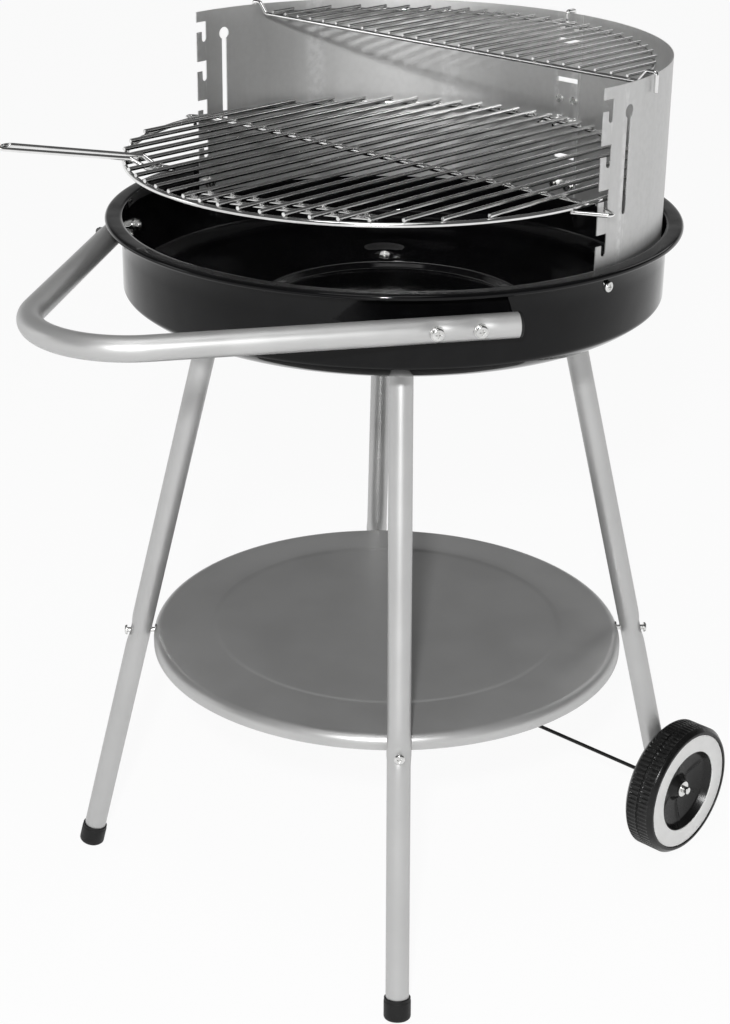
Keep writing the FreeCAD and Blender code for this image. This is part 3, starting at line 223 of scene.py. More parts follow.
@dataclass(frozen=True)
class Finish:
    """One finish of the barbecue: colour, gloss, grain and dust."""

    slot: Slot
    color: tuple[float, float, float]
    rough: tuple[float, float]
    metallic: float = 0.0
    grain_scale: float = 500.0
    patch_scale: float = 14.0
    stretch: tuple[float, float, float] = (1.0, 1.0, 1.0)
    bump: float = 0.05
    wave: float = 0.0
    dust: float = 0.05
    shade: float = 0.08
    specular: float = 0.5
    # Colour mixed in along convex edges: real scuffs on rubber and wheels, a painted highlight on the satin
    # sheet's edges.
    wear_and_highlight: float = 0.0
    wear_and_highlight_color: tuple[float, float, float] = (0.5, 0.5, 0.5)

    def material(self, groups: dict[str, bpy.types.NodeTree]) -> bpy.types.Material:
        """Build the material.

        Args:
            groups: the shared node groups by name.
        Returns:
            The finished material.
        """
        material = bpy.data.materials.new("finish " + self.slot.value)
        material.use_nodes = True
        sketch = NodeSketch(material.node_tree)
        place = sketch.add("ShaderNodeTexCoord")
        turn = sketch.add("ShaderNodeMapping")
        sketch.feed(turn, "Vector", place.outputs["Object"])
        sketch.feed(turn, "Location", [-BOWL_AXIS.x, -BOWL_AXIS.y, 0.0])
        sketch.feed(turn, "Scale", self.stretch)
        where = turn.outputs[0]
        grain = sketch.add("ShaderNodeGroup", node_tree=groups["grain"])
        sketch.feed(grain, "Vector", where)
        sketch.feed(grain, "Scale", self.grain_scale)
        sketch.feed(grain, "Patch Scale", self.patch_scale)
        sketch.feed(grain, "Roughness Low", self.rough[0])
        sketch.feed(grain, "Roughness High", self.rough[1])
        tone = sketch.add("ShaderNodeMix", data_type="RGBA")
        sketch.feed(tone, 0, grain.outputs["Patches"])
        sketch.feed(tone, 6, (*[c * (1 - self.shade) for c in self.color], 1.0))
        sketch.feed(tone, 7, (*[min(1.0, c * (1 + self.shade)) for c in self.color], 1.0))
        color = tone.outputs[2]
        # Mix the edge colour in: real scuffs on rubber and wheels, a painted highlight along the satin
        # sheet's edges.
        if self.wear_and_highlight:
            wear_and_highlight = sketch.add("ShaderNodeGroup", node_tree=groups["wear_and_highlight"])
            sketch.feed(wear_and_highlight, "Vector", place.outputs["Object"])
            rub_and_highlight = sketch.add("ShaderNodeMix", data_type="RGBA")
            sketch.feed(rub_and_highlight, 0, sketch.math("MULTIPLY", wear_and_highlight.outputs[0], self.wear_and_highlight))
            sketch.feed(rub_and_highlight, 6, color)
            sketch.feed(rub_and_highlight, 7, (*self.wear_and_highlight_color, 1.0))
            color = rub_and_highlight.outputs[2]
        dust = sketch.add("ShaderNodeGroup", node_tree=groups["dust"])
        sketch.feed(dust, "Vector", place.outputs["Object"])
        sketch.feed(dust, "Color", color)
        sketch.feed(dust, "Amount", self.dust)
        shader = sketch.add("ShaderNodeBsdfPrincipled", Metallic=self.metallic)
        sketch.feed(shader, "Base Color", dust.outputs["Color"])
        sketch.feed(shader, "Roughness", grain.outputs["Roughness"])
        sketch.feed(shader, "Specular IOR Level", self.specular)
        relief = sketch.add("ShaderNodeBump", Strength=self.bump, Distance=0.0005)
        sketch.feed(relief, "Height", grain.outputs["Height"])
        if self.wave:
            ripple = sketch.add("ShaderNodeTexNoise", Scale=22.0, Detail=1.5)
            sketch.feed(ripple, "Vector", place.outputs["Object"])
            swell = sketch.add("ShaderNodeBump", Strength=self.wave, Distance=0.004)
            sketch.feed(swell, "Height", ripple.outputs[0])
            sketch.feed(relief, "Normal", swell.outputs[0])
        sketch.feed(shader, "Normal", relief.outputs[0])
        output = sketch.add("ShaderNodeOutputMaterial")
        sketch.feed(output, "Surface", shader.outputs[0])
        return material


FINISHES = (
    Finish(Slot.ENAMEL, (0.0025, 0.0025, 0.0028), (0.03, 0.09), grain_scale=350.0, bump=0.05, wave=0.09,
           dust=0.006, shade=0.25, specular=0.2),
    Finish(Slot.SILVER, (0.53, 0.53, 0.527), (0.36, 0.46), metallic=0.7, grain_scale=1500.0, bump=0.05,
           dust=0.04, shade=0.03),
    # Satin sheet: the pale edge colour paints a highlight along the windshield's cut edges.
    Finish(Slot.SHEET, (0.56, 0.56, 0.556), (0.42, 0.54), metallic=0.9, grain_scale=260.0, patch_scale=9.0,
           stretch=(1.0, 1.0, 0.05), bump=0.06, dust=0.05, shade=0.05, wear_and_highlight=0.5,
           wear_and_highlight_color=(0.85, 0.85, 0.85)),
    Finish(Slot.CHROME, (0.80, 0.80, 0.795), (0.06, 0.16), metallic=1.0, grain_scale=700.0, patch_scale=40.0,
           bump=0.04, dust=0.03, shade=0.06),
    Finish(Slot.ZINC, (0.72, 0.72, 0.71), (0.16, 0.32), metallic=1.0, grain_scale=900.0, patch_scale=120.0,
           bump=0.08, dust=0.04, shade=0.1),
    Finish(Slot.ROD, (0.006, 0.006, 0.006), (0.3, 0.45), grain_scale=900.0, bump=0.08, dust=0.03, shade=0.2,
           specular=0.3),
    Finish(Slot.RUBBER, (0.007, 0.007, 0.007), (0.45, 0.62), grain_scale=1300.0, patch_scale=60.0, bump=0.25,
           dust=0.04, shade=0.25, specular=0.3, wear_and_highlight=0.15, wear_and_highlight_color=(0.06, 0.06, 0.06)),
    Finish(Slot.PLASTIC, (0.007, 0.007, 0.007), (0.38, 0.5), grain_scale=1400.0, bump=0.18, dust=0.03,
           shade=0.2, specular=0.3),
    Finish(Slot.WHEEL, (0.004, 0.004, 0.004), (0.2, 0.36), grain_scale=900.0, patch_scale=40.0, bump=0.12,
           dust=0.02, shade=0.2, specular=0.35, wear_and_highlight=0.5, wear_and_highlight_color=(0.12, 0.12, 0.12)),
    Finish(Slot.WHITE, (0.92, 0.92, 0.91), (0.3, 0.42), grain_scale=700.0, patch_scale=50.0, bump=0.08,
           dust=0.10, shade=0.02),
)


class Paintbox:
    """All finishes, built once and handed out by slot."""

    def __init__(self) -> None:
        """Build the shared groups and every material."""
        groups = {"grain": grain_group(), "dust": dust_group(), "wear_and_highlight": wear_and_highlight_group()}
        self.materials = {finish.slot: finish.material(groups) for finish in FINISHES}

    def dress(self, piece: bpy.types.Object, slot: Slot) -> None:
        """Give a piece one finish."""
        piece.data.materials.clear()
        piece.data.materials.append(self.materials[slot])


# ---- mesh building ---------------------------------------------------------------------------------------
def rounded_path(corners: Sequence[Vector], bend: float, steps: int = 8) -> list[Vector]:
    """Points along a line with round bends.

    Args:
        corners: the line's corners.
        bend: radius of each bend.
        steps: pieces per bend.
    Returns:
        The points, ends included.
    """
    path = [corners[0]]
    for before, here, after in zip(corners, corners[1:], corners[2:]):
        arm_in = (before - here).normalized()
        arm_out = (after - here).normalized()
        half = arm_in.angle(arm_out) / 2
        centre = here + (arm_in + arm_out).normalized() * (bend / math.sin(half))
        start = here + arm_in * (bend / math.tan(half)) - centre
        axis = arm_in.cross(arm_out).normalized()
        sweep = math.pi - 2 * half
        for i in range(steps + 1):
            path.append(centre + Quaternion(axis, -sweep * i / steps) @ start)
    return path + [corners[-1]]


def sweep(bm: bmesh.types.BMesh, path: Sequence[Vector], radius: float, sides: int = 48) -> None:
    """Add a round bar along a path by extruding one ring from point to point.

    Args:
        bm: mesh to add to.
        path: points of the bar's axis.
        radius: the bar's radius.
        sides: sides of its section.
    """
    ways = []
    for i in range(len(path)):
        before = path[max(0, i - 1)]
        after = path[min(len(path) - 1, i + 1)]
        ways.append((after - before).normalized())
    turn = Vector((0, 0, 1)).rotation_difference(ways[0])
    ring = bmesh.ops.create_circle(bm, cap_ends=True, segments=sides, radius=1.0)["verts"]
    here = Matrix.LocRotScale(path[0], turn, Vector.Fill(3, radius))
    bmesh.ops.transform(bm, matrix=here, verts=ring)
    edges = list({edge for vert in ring for edge in vert.link_edges})
    for point, before, way in zip(path[1:], ways, ways[1:]):
        turn = before.rotation_difference(way) @ turn
        there = Matrix.LocRotScale(point, turn, Vector.Fill(3, radius))
        grown = bmesh.ops.extrude_edge_only(bm, edges=edges)["geom"]
        verts = [item for item in grown if isinstance(item, bmesh.types.BMVert)]
        edges = [item for item in grown if isinstance(item, bmesh.types.BMEdge)]
        bmesh.ops.transform(bm, matrix=there @ here.inverted(), verts=verts)
        here = there
    bmesh.ops.contextual_create(bm, geom=edges)


def spin(bm: bmesh.types.BMesh, profile: Profile, steps: int, place: Matrix, closed: bool = True) -> None:
    """Add a turned shape: a profile of (radius, height) points spun about the upright axis, then placed."""
    verts = [bm.verts.new((r, 0.0, z)) for r, z in profile]
    pairs = list(zip(verts, verts[1:]))
    if closed:
        pairs.append((verts[-1], verts[0]))
    edges = [bm.edges.new(pair) for pair in pairs]
    before = set(bm.verts) - set(verts)
    bmesh.ops.spin(bm, geom=verts + edges, cent=(0, 0, 0), axis=(0, 0, 1), angle=math.tau, steps=steps,
                   use_merge=True, use_duplicate=False)
    made = [vert for vert in bm.verts if vert not in before]
    bmesh.ops.transform(bm, matrix=place, verts=made)


def rounded_profile(points: Sequence[tuple[float, ...]], steps: int = 5) -> list[tuple[float, float]]:
    """Outline whose corners with a third number are rounded by that radius.

    Args:
        points: (radius, height) or (radius, height, rounding) corners of a closed outline.
        steps: pieces per rounded corner.
    Returns:
        The outline's points.
    """
    result: list[tuple[float, float]] = []
    count = len(points)
    for i, point in enumerate(points):
        if len(point) == 2:
            result.append(point)
            continue
        before = Vector(points[i - 1][:2]).to_3d()
        after = Vector(points[(i + 1) % count][:2]).to_3d()
        here = Vector(point[:2]).to_3d()
        path = rounded_path([before, here, after], point[2], steps)[1:-1]
        result.extend((p.x, p.y) for p in path)
    return result


class Workshop:
    """Turns meshes into dressed pieces that ride on their bodies."""

    def __init__(self, paints: Paintbox) -> None:
        """Keep the finishes at hand."""
        self.paints = paints

    def deliver(self, bm: bmesh.types.BMesh, name: str, slot: Slot, nodes: Sequence[str], body: str = "root",
                sharp: float = 35.0, outward: bool = True) -> bpy.types.Object:
        """Make an object of a mesh, dress it, and let it stand for CAD nodes.

        Args:
            bm: the mesh, which is freed.
            name: the piece's name.
            slot: its finish.
            nodes: the CAD nodes it replaces.
            body: the CAD body it rides on.
            sharp: edges that turn more than this many degrees stay sharp.
            outward: whether the faces are turned outwards first.
        Returns:
            The finished object.
        """
        bmesh.ops.remove_doubles(bm, verts=bm.verts[:], dist=1e-6)
        if outward:
            bmesh.ops.recalc_face_normals(bm, faces=bm.faces[:])
        mesh = bpy.data.meshes.new(name)
        bm.to_mesh(mesh)
        bm.free()
        for polygon in mesh.polygons:
            polygon.use_smooth = True
        mesh.set_sharp_from_angle(angle=math.radians(sharp))
        piece = bpy.data.objects.new(name, mesh)
        bpy.context.scene.collection.objects.link(piece)
        self.paints.dress(piece, slot)
        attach(piece, body)
        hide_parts(*nodes)
        LOG.info("%s: %d faces", name, len(mesh.polygons))
        return piece

    def refine(self, node: str, slot: Slot, body: str = "root", bevel: float = 0.0) -> bpy.types.Object:
        """Carry a CAD node over as a merged, softly edged piece.

        Args:
            node: the CAD node.
            slot: its finish.
            body: the body it rides on.
            bevel: width of the softened edges.
        Returns:
            The finished object.
        """
        bm = bmesh.new()
        bm.from_mesh(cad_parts[node].data)
        bmesh.ops.remove_doubles(bm, verts=bm.verts[:], dist=2e-6)
        bmesh.ops.dissolve_limit(bm, angle_limit=math.radians(0.6), verts=bm.verts[:], edges=bm.edges[:])
        piece = self.deliver(bm, node + "_fine", slot, [node], body, outward=False)
        if bevel:
            soften = piece.modifiers.new("soft edges", "BEVEL")
            soften.width = bevel
            soften.segments = 2
            soften.limit_method = "ANGLE"
            soften.angle_limit = math.radians(40)
            soften.harden_normals = True
        return piece


def about_bowl(z: float = 0.0) -> Matrix:
    """Place of something turned about the bowl's axis."""
    return Matrix.Translation(BOWL_AXIS + Vector((0, 0, z)))


def at_azimuth(radius: float, azimuth: float, z: float) -> Vector:
    """Point at a radius and an azimuth in degrees about the bowl's axis."""
    angle = math.radians(azimuth)
    return BOWL_AXIS + Vector((radius * math.cos(angle), radius * math.sin(angle), z))


# ---- fire bowl -------------------------------------------------------------------------------------------
@dataclass
class FireBowl:
    """Enamelled bowl with a rolled rim, a round belly, a recessed floor and four pressed leg seats."""

    shop: Workshop
    wall_r: float = 255 * MM
    rim_r: float = 270 * MM
    sheet: float = 1.2 * MM
    roll_r: float = 2.6 * MM
    depth: float = 89 * MM
    flat_r: float = 203 * MM
    belly_r: float = 76 * MM
    disc_r: float = 127 * MM
    disc_drop: float = 5 * MM
    seat_r: float = 19 * MM
    seat_slope: float = 13 * MM
    leg_r: float = 169 * MM
    seat_drop: float = 5.5 * MM
    steps: int = 256

    def skin(self, inset: float) -> list[tuple[float, float]]:
        """Half section from the axis to the flange, moved inwards from the outside by an inset."""
        floor = RIM_Z - self.depth + inset
        wall = self.wall_r - inset
        radius = self.belly_r - inset
        line = [(self.disc_r * t, floor - self.disc_drop) for t in (0.12, 0.3, 0.5, 0.7, 0.85, 0.93)]
        for i in range(7):
            t = i / 6
            ease = (1 - math.cos(math.pi * t)) / 2
            line.append((self.disc_r * (0.95 + 0.05 * t), floor - self.disc_drop * (1 - ease)))
        line += [(self.disc_r + (self.flat_r - self.disc_r) * (i / 24), floor) for i in range(1, 25)]
        swing = math.asin((wall - self.flat_r) / radius)
        for i in range(1, 13):
            turn = swing * i / 14
            line.append((self.flat_r + radius * math.sin(turn), floor + radius * (1 - math.cos(turn))))
        top = floor + radius * (1 - math.cos(swing))
        bend = 6 * MM - inset
        corners = [Vector((line[-1][0], line[-1][1], 0)), Vector((wall, top, 0)), Vector((wall, RIM_Z, 0))]
        line += [(p.x, p.y) for p in rounded_path(corners, bend, 5)[1:-1]]
        line += [(wall, top + (RIM_Z - top) * t) for t in (0.3, 0.6)]
        return line

    def press(self, bm: bmesh.types.BMesh) -> None:
        """Sink the four leg seats into the flat of the bottom."""
        for azimuth in (45, 135, 225, 315):
            centre = at_azimuth(self.leg_r, azimuth, 0)
            for vert in bm.verts:
                if vert.co.z > RIM_Z - self.depth + 12 * MM:
                    continue
                away = math.hypot(vert.co.x - centre.x, vert.co.y - centre.y) - self.seat_r
                if away < self.seat_slope:
                    ease = min(1.0, 1 - away / self.seat_slope)
                    vert.co.z -= self.seat_drop * (1 - math.cos(math.pi * ease)) / 2

    def build(self) -> None:
        """Spin the section and roll the rim."""
        bm = bmesh.new()
        outer = self.skin(0.0)
        inner = self.skin(self.sheet)
        lip = RIM_Z - self.sheet
        roll_at = (self.rim_r - self.roll_r, RIM_Z - self.roll_r)
        rim = [(self.wall_r + 1.2 * MM, lip - 0.3 * MM), (self.wall_r + 3 * MM, lip),
               (self.rim_r - 2 * self.roll_r, lip - 0.3 * MM)]
        for i in range(15):
            angle = math.radians(200 + 250 * i / 14)
            out, up = self.roll_r * math.cos(angle), self.roll_r * math.sin(angle)
            rim.append((roll_at[0] + out, roll_at[1] + up))
        rim += [(self.rim_r - 2 * self.roll_r, RIM_Z), (self.wall_r + 2 * MM, RIM_Z),
                (self.wall_r - self.sheet + 0.6 * MM, RIM_Z - 0.25 * MM)]
        wall_in = [(self.wall_r - self.sheet, lip)]
        profile = outer + [(self.wall_r, lip - 1.5 * MM)] + rim + wall_in + inner[::-1]
        profile = [(0.0, outer[0][1])] + profile + [(0.0, inner[0][1])]
        spin(bm, profile, self.steps, about_bowl(), closed=False)
        bmesh.ops.remove_doubles(bm, verts=bm.verts[:], dist=1e-6)
        self.press(bm)
        self.shop.deliver(bm, "enamelled_bowl", Slot.ENAMEL, ["fire_bowl"], sharp=60.0)


# ---- legs, feet and shelf --------------------------------------------------------------------------------
@dataclass
class Legs:
    """Four splayed tubes, pressed flat round the shelf screws, with collars and rubber feet."""

    shop: Workshop
    tube_r: float = 11 * MM
    wall: float = 1.2 * MM
    top_r: float = 168 * MM
    foot_r: float = 311.5 * MM
    bottom_z: float = 601 * MM
    screw_z: float = 251 * MM
    top_gap: float = 9.5 * MM
    dimple_reach: float = 40 * MM
    dimple_half: float = 9 * MM
    dimple_depth: float = 2.2 * MM
    dimple_spread: float = 0.9 * MM
    azimuths: dict[str, float] = field(default_factory=lambda: {
        "front_right": 315.0, "front_left": 225.0, "rear_right": 45.0, "rear_left": 135.0})

    def down(self, azimuth: float) -> Vector:
        """Unit vector down a leg."""
        top = at_azimuth(self.top_r, azimuth, self.bottom_z)
        return (at_azimuth(self.foot_r, azimuth, 0) - top).normalized()

    def point(self, azimuth: float, z: float) -> Vector:
        """Point of a leg's axis at a height."""
        share = (self.bottom_z - z) / self.bottom_z
        return at_azimuth(self.top_r + (self.foot_r - self.top_r) * share, azimuth, z)

    def tube(self, name: str, azimuth: float) -> None:
        """One leg: a hollow tube with the pressed flat round its screw."""
        low = 6.5 * MM if name.startswith("front") else 58 * MM
        start = self.point(azimuth, self.bottom_z) + self.down(azimuth) * self.top_gap
        end = self.point(azimuth, low)
        bm = bmesh.new()
        count = 150
        length = (end - start).length
        outer = [(self.tube_r, length * i / count) for i in range(count + 1)]
        inner = [(self.tube_r - self.wall, length), (self.tube_r - self.wall, 0.0)]
        turn = Vector((0, 0, 1)).rotation_difference(self.down(azimuth))
        spin(bm, outer + inner, 48, Matrix.LocRotScale(start, turn, None))
        out = at_azimuth(1, azimuth, 0) - BOWL_AXIS
        down = self.down(azimuth)
        out = (out - down * out.dot(down)).normalized()
        side = down.cross(out)
        screw = self.point(azimuth, self.screw_z)
        for vert in bm.verts:
            offset = vert.co - screw
            along, across = offset.dot(down), offset.dot(side)
            rise = offset.dot(out)
            if rise < self.tube_r * 0.2 or abs(along) > self.dimple_reach:
                continue
            near = math.exp(-((along / self.dimple_half) ** 2))
            spread = math.copysign(self.dimple_spread, across) * (abs(across) / self.tube_r) ** 2
            vert.co -= out * (near * self.dimple_depth * rise / self.tube_r)
            vert.co += side * (near * spread)
        self.shop.deliver(bm, "leg_tube_" + name, Slot.SILVER, ["leg_" + name])

    def foot(self, name: str, azimuth: float) -> None:
        """Rubber foot: a soft-edged cap with a raised collar."""
        bm = bmesh.new()
        reach = 22 * MM
        profile = rounded_profile([
            (0.0, 0.0), (12.8 * MM, 0.0, 4 * MM), (12.8 * MM, reach - 3.5 * MM, 0.4 * MM),
            (12.5 * MM, reach - 3.2 * MM, 0.2 * MM), (12.5 * MM, reach, 0.5 * MM), (11.1 * MM, reach),
            (11.1 * MM, 8 * MM), (0.0, 8 * MM)], 6)
        place = self.point(azimuth, 0.0)
        turn = Vector((0, 0, 1)).rotation_difference(-self.down(azimuth))
        spin(bm, profile, 64, Matrix.LocRotScale(place, turn, None), closed=False)
        for vert in bm.verts:
            if vert.co.z < 2.5 * MM:
                vert.co.z = max(0.0, vert.co.z)
        self.shop.deliver(bm, "rubber_foot_" + name, Slot.RUBBER, ["foot_" + name])

    def build(self) -> None:
        """Make all legs and what is fixed to them."""
        for name, azimuth in self.azimuths.items():
            self.tube(name, azimuth)
            self.shop.refine("socket_" + name, Slot.PLASTIC, bevel=0.4 * MM)
            if name.startswith("front"):
                self.foot(name, azimuth)
        self.shop.refine("leg_screws", Slot.ZINC, bevel=0.15 * MM)


@dataclass
class Shelf:
    """Pressed round shelf: a slightly sunk middle, a crowned border and a lip turned down."""

    shop: Workshop
    disc_r: float = 174 * MM
    disc_sink: float = 1.5 * MM
    border_sink: float = 0.8 * MM
    border_fall: float = 2.6 * MM
    crease_in: float = 3 * MM
    crease_out: float = 5 * MM
    bend_r: float = 9 * MM
    bend_from: float = 87.0
    lip_step: float = 0.3 * MM
    sheet: float = 1.0 * MM
    steps: int = 256

    def skin(self, inset: float) -> list[tuple[float, float]]:
        """Half section from the axis to the lip's edge, moved in by an inset."""
        low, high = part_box("shelf")
        radius = (high.x - low.x) / 2
        top = high.z - inset
        line = [(self.disc_r * t, top - self.disc_sink) for t in (0.0, 0.2, 0.4, 0.6, 0.8, 0.96)]
        crease = self.crease_in + self.crease_out
        for i in range(9):
            ease = (1 - math.cos(math.pi * i / 8)) / 2
            sink = self.disc_sink + (self.border_sink - self.disc_sink) * ease
            line.append((self.disc_r - self.crease_in + crease * (i / 8), top - sink))
        start = self.disc_r + self.crease_out
        reach = radius - self.bend_r - MM - start
        for t in (0.25, 0.5, 0.75, 1.0):
            line.append((start + reach * t, top - self.border_sink - self.border_fall * t))
        centre_z = high.z - self.border_sink - self.border_fall - self.bend_r
        bend = self.bend_r - inset
        for i in range(9):
            angle = math.radians(self.bend_from * (1 - i / 8))
            line.append((radius - self.bend_r + bend * math.cos(angle), centre_z + bend * math.sin(angle)))
        line.append((radius - inset, low.z + (self.lip_step if inset else 0.0)))
        return line

    def build(self) -> None:
        """Spin the pressed section."""
        bm = bmesh.new()
        spin(bm, self.skin(0.0) + self.skin(self.sheet)[::-1], self.steps, about_bowl(), closed=False)
        self.shop.deliver(bm, "pressed_shelf", Slot.SILVER, ["shelf"], sharp=50.0)
        for node in ("shelf_screws", "shelf_nuts"):
            self.shop.refine(node, Slot.ZINC, bevel=0.2 * MM)


# ---- push handle -----------------------------------------------------------------------------------------
@dataclass
class PushHandle:
    """One bent tube with plugged ends, bolted to the bowl's wall."""

    shop: Workshop
    tube_r: float = 11 * MM
    azimuth: float = 33.7
    height: float = 660 * MM
    tail: float = 40.5 * MM
    bend: float = 87 * MM
    off_wall: float = 266.2 * MM
    bolts: tuple[float, float] = (-5.75 * MM, 31.75 * MM)
    dimple_reach: float = 30 * MM
    dimple_half: float = 8 * MM
    dimple_depth: float = 1.5 * MM
    arm_steps: int = 80

    def arm(self, side: int) -> tuple[Vector, Vector, Vector]:
        """An arm's touching point on the bowl, the way out from the bowl there, and the way to the grip."""
        angle = math.radians(self.azimuth)
        out = Vector((side * math.cos(angle), -math.sin(angle), 0))
        forward = Vector((-side * math.sin(angle), -math.cos(angle), 0))
        return BOWL_AXIS + out * self.off_wall + Vector((0, 0, self.height)), out, forward

    def press(self, bm: bmesh.types.BMesh) -> None:
        """Press the tube in a little round each bolt."""
        for touch, out, forward in (self.arm(1), self.arm(-1)):
            for offset in self.bolts:
                bolt = touch + forward * offset
                for vert in bm.verts:
                    away = vert.co - bolt
                    rise = away.dot(out)
                    if away.length < self.dimple_reach and rise > self.tube_r * 0.2:
                        near = math.exp(-((away.dot(forward) / self.dimple_half) ** 2))
                        vert.co -= out * (near * self.dimple_depth * rise / self.tube_r)

    def axis(self) -> list[Vector]:
        """Points of the tube's axis, close together along the arms."""
        touch, _, forward = self.arm(1)
        other, _, backward = self.arm(-1)
        apex = touch + forward * (touch.x / math.sin(math.radians(self.azimuth)))
        bent = rounded_path([touch - forward * self.tail, apex, other - backward * self.tail], self.bend, 40)
        first = [bent[0].lerp(bent[1], i / self.arm_steps) for i in range(self.arm_steps)]
        last = [bent[-2].lerp(bent[-1], i / self.arm_steps) for i in range(1, self.arm_steps + 1)]
        return first + bent[1:-1] + last

    def build(self) -> None:
        """Sweep the tube and carry its fastenings over."""
        bm = bmesh.new()
        sweep(bm, self.axis(), self.tube_r)
        self.press(bm)
        self.shop.deliver(bm, "handle_tube", Slot.SILVER, ["push_handle"])
        self.shop.refine("handle_plugs", Slot.PLASTIC, bevel=0.5 * MM)
        for node in ("handle_bolts", "handle_saddles", "handle_nuts"):
            self.shop.refine(node, Slot.ZINC, bevel=0.2 * MM)


# ---- wheels ----------------------------------------------------------------------------------------------
@dataclass
class Wheels:
    """Two moulded wheels on a thin rod: ribbed tread, white ring, dished hub."""

    shop: Workshop
    radius: float = 70 * MM
    width: float = 35 * MM
    ribs: int = 84
    rib_depth: float = 1.2 * MM
    inner_side: float = 210.5 * MM

    def profile(self, hub_in: float) -> list[tuple[float, float]]:
        """Outline of tyre, web and hub, heights running outwards along the axle."""
        r, w = self.radius, self.width
        tread = [(r - 0.6 * MM, 4.6 * MM)]
        for low, high in ((5 * MM, 16.4 * MM), (18.6 * MM, 30 * MM)):
            tread += [(r, low), (r, low + 1 * MM), (r, high - 1 * MM), (r, high)]
            if low < 10 * MM:
                tread += [(r - 0.9 * MM, 16.8 * MM), (r - 0.9 * MM, 17.2 * MM), (r - 0.1 * MM, 17.3 * MM),
                          (r - 0.1 * MM, 17.7 * MM), (r - 0.9 * MM, 17.8 * MM), (r - 0.9 * MM, 18.2 * MM)]
        tread.append((r - 0.6 * MM, 30.4 * MM))
        hub_face = [(9 * MM, 26 * MM, 0.8 * MM), (2.2 * MM, 26 * MM)]
        outline = [
            (2.2 * MM, hub_in), (9 * MM, hub_in, 0.6 * MM), (9 * MM, 12.5 * MM, 1 * MM),
            (50 * MM, 12.5 * MM, 4 * MM), (58 * MM, 4.5 * MM, 3 * MM), (60 * MM, 0.0, 0.8 * MM),
            (64.6 * MM, 0.0, 2 * MM), (r - 1 * MM, 3.6 * MM, 1 * MM)]
        outline += tread
        outline += [
            (r - 1 * MM, w - 3.6 * MM, 1 * MM), (66.0 * MM, w, 2 * MM), (63.2 * MM, w, 0.5 * MM),
            (62.8 * MM, w - 2.4 * MM), (44 * MM, w - 2.4 * MM), (43.2 * MM, w - 4 * MM, 0.8 * MM),
            (40 * MM, w - 10 * MM, 4 * MM), (32 * MM, w - 13 * MM), (22 * MM, w - 15.5 * MM),
            (15 * MM, w - 16 * MM, 3 * MM)]
        return rounded_profile(outline + hub_face, 5)

    def mould(self, bm: bmesh.types.BMesh) -> None:
        """Cut the tread's ribs and fold the hub's radial ridges, before the wheel is placed."""
        for vert in bm.verts:
            angle = math.atan2(vert.co.y, vert.co.x) % math.tau
            r = math.hypot(vert.co.x, vert.co.y)
            z = vert.co.z
            row = 5.9 * MM < z < 15.5 * MM or 19.5 * MM < z < 29.1 * MM
            if r > self.radius - 0.05 * MM and row:
                phase = round(angle / math.tau * self.ribs * 4) % 4
                if phase >= 2:
                    scale = (r - self.rib_depth) / r
                    vert.co.x *= scale
                    vert.co.y *= scale
            if 13 * MM < r < 41 * MM and z > 17 * MM:
                near = abs((angle / math.tau * 6 + 0.5) % 1 - 0.5) * math.tau / 6 * r
                taper = math.sin(math.pi * (r - 13 * MM) / (28 * MM))
                vert.co.z += 1.6 * MM * taper * math.exp(-((near / (1.6 * MM)) ** 2))

    def wheel(self, side: int, name: str) -> None:
        """One wheel with its white ring."""
        low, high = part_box("wheel_" + name)
        inner_face = low.x if side > 0 else -high.x
        centre = Vector((0, (low.y + high.y) / 2, (low.z + high.z) / 2))
        turn = Matrix.Rotation(math.radians(90 * side), 4, "Y")
        place = Matrix.Translation(centre + Vector((side * max(inner_face, self.inner_side), 0, 0))) @ turn
        bm = bmesh.new()
        spin(bm, self.profile(1.2 * MM), self.ribs * 4, Matrix.Identity(4))
        bmesh.ops.remove_doubles(bm, verts=bm.verts[:], dist=1e-6)
        self.mould(bm)
        bmesh.ops.transform(bm, matrix=place, verts=bm.verts[:])
        self.shop.deliver(bm, "moulded_wheel_" + name, Slot.WHEEL, ["wheel_" + name], name + "_wheel",
                          sharp=40.0)
        bm = bmesh.new()
        w = self.width
        ring = rounded_profile([(44.3 * MM, w - 2.3 * MM), (62.5 * MM, w - 2.3 * MM),
                                (62.5 * MM, w - 0.9 * MM, 0.5 * MM), (44.3 * MM, w - 0.9 * MM, 0.5 * MM)], 4)
        spin(bm, ring, 160, place)
        self.shop.deliver(bm, "white_ring_" + name, Slot.WHITE, ["wheel_ring_" + name], name + "_wheel")

    def build(self) -> None:
        """Make both wheels and carry the axle over."""
        for side, name in ((1, "right"), (-1, "left")):
            self.wheel(side, name)
            self.shop.refine("axle_spacer_" + name, Slot.PLASTIC, bevel=0.2 * MM)
            self.shop.refine("axle_washer_" + name, Slot.ZINC, bevel=0.3 * MM)
            self.shop.refine("axle_cap_" + name, Slot.ZINC, bevel=0.6 * MM)
        self.shop.refine("axle_rod", Slot.ROD)


# ---- windshield ------------------------------------------------------------------------------------------
@dataclass
class Windshield:
    """Two curved sheets with notched front edges, a seam strip, rivets and screws."""

    shop: Workshop

    def build(self) -> None:
        """Carry the cut sheets over with softened edges, and their fastenings."""
        for node in ("windshield_right", "windshield_left", "windshield_strip"):
            self.shop.refine(node, Slot.SHEET, bevel=0.28 * MM)
        for node in ("windshield_rivets", "windshield_screws", "windshield_spacers", "windshield_nuts"):
            self.shop.refine(node, Slot.ZINC, bevel=0.2 * MM)


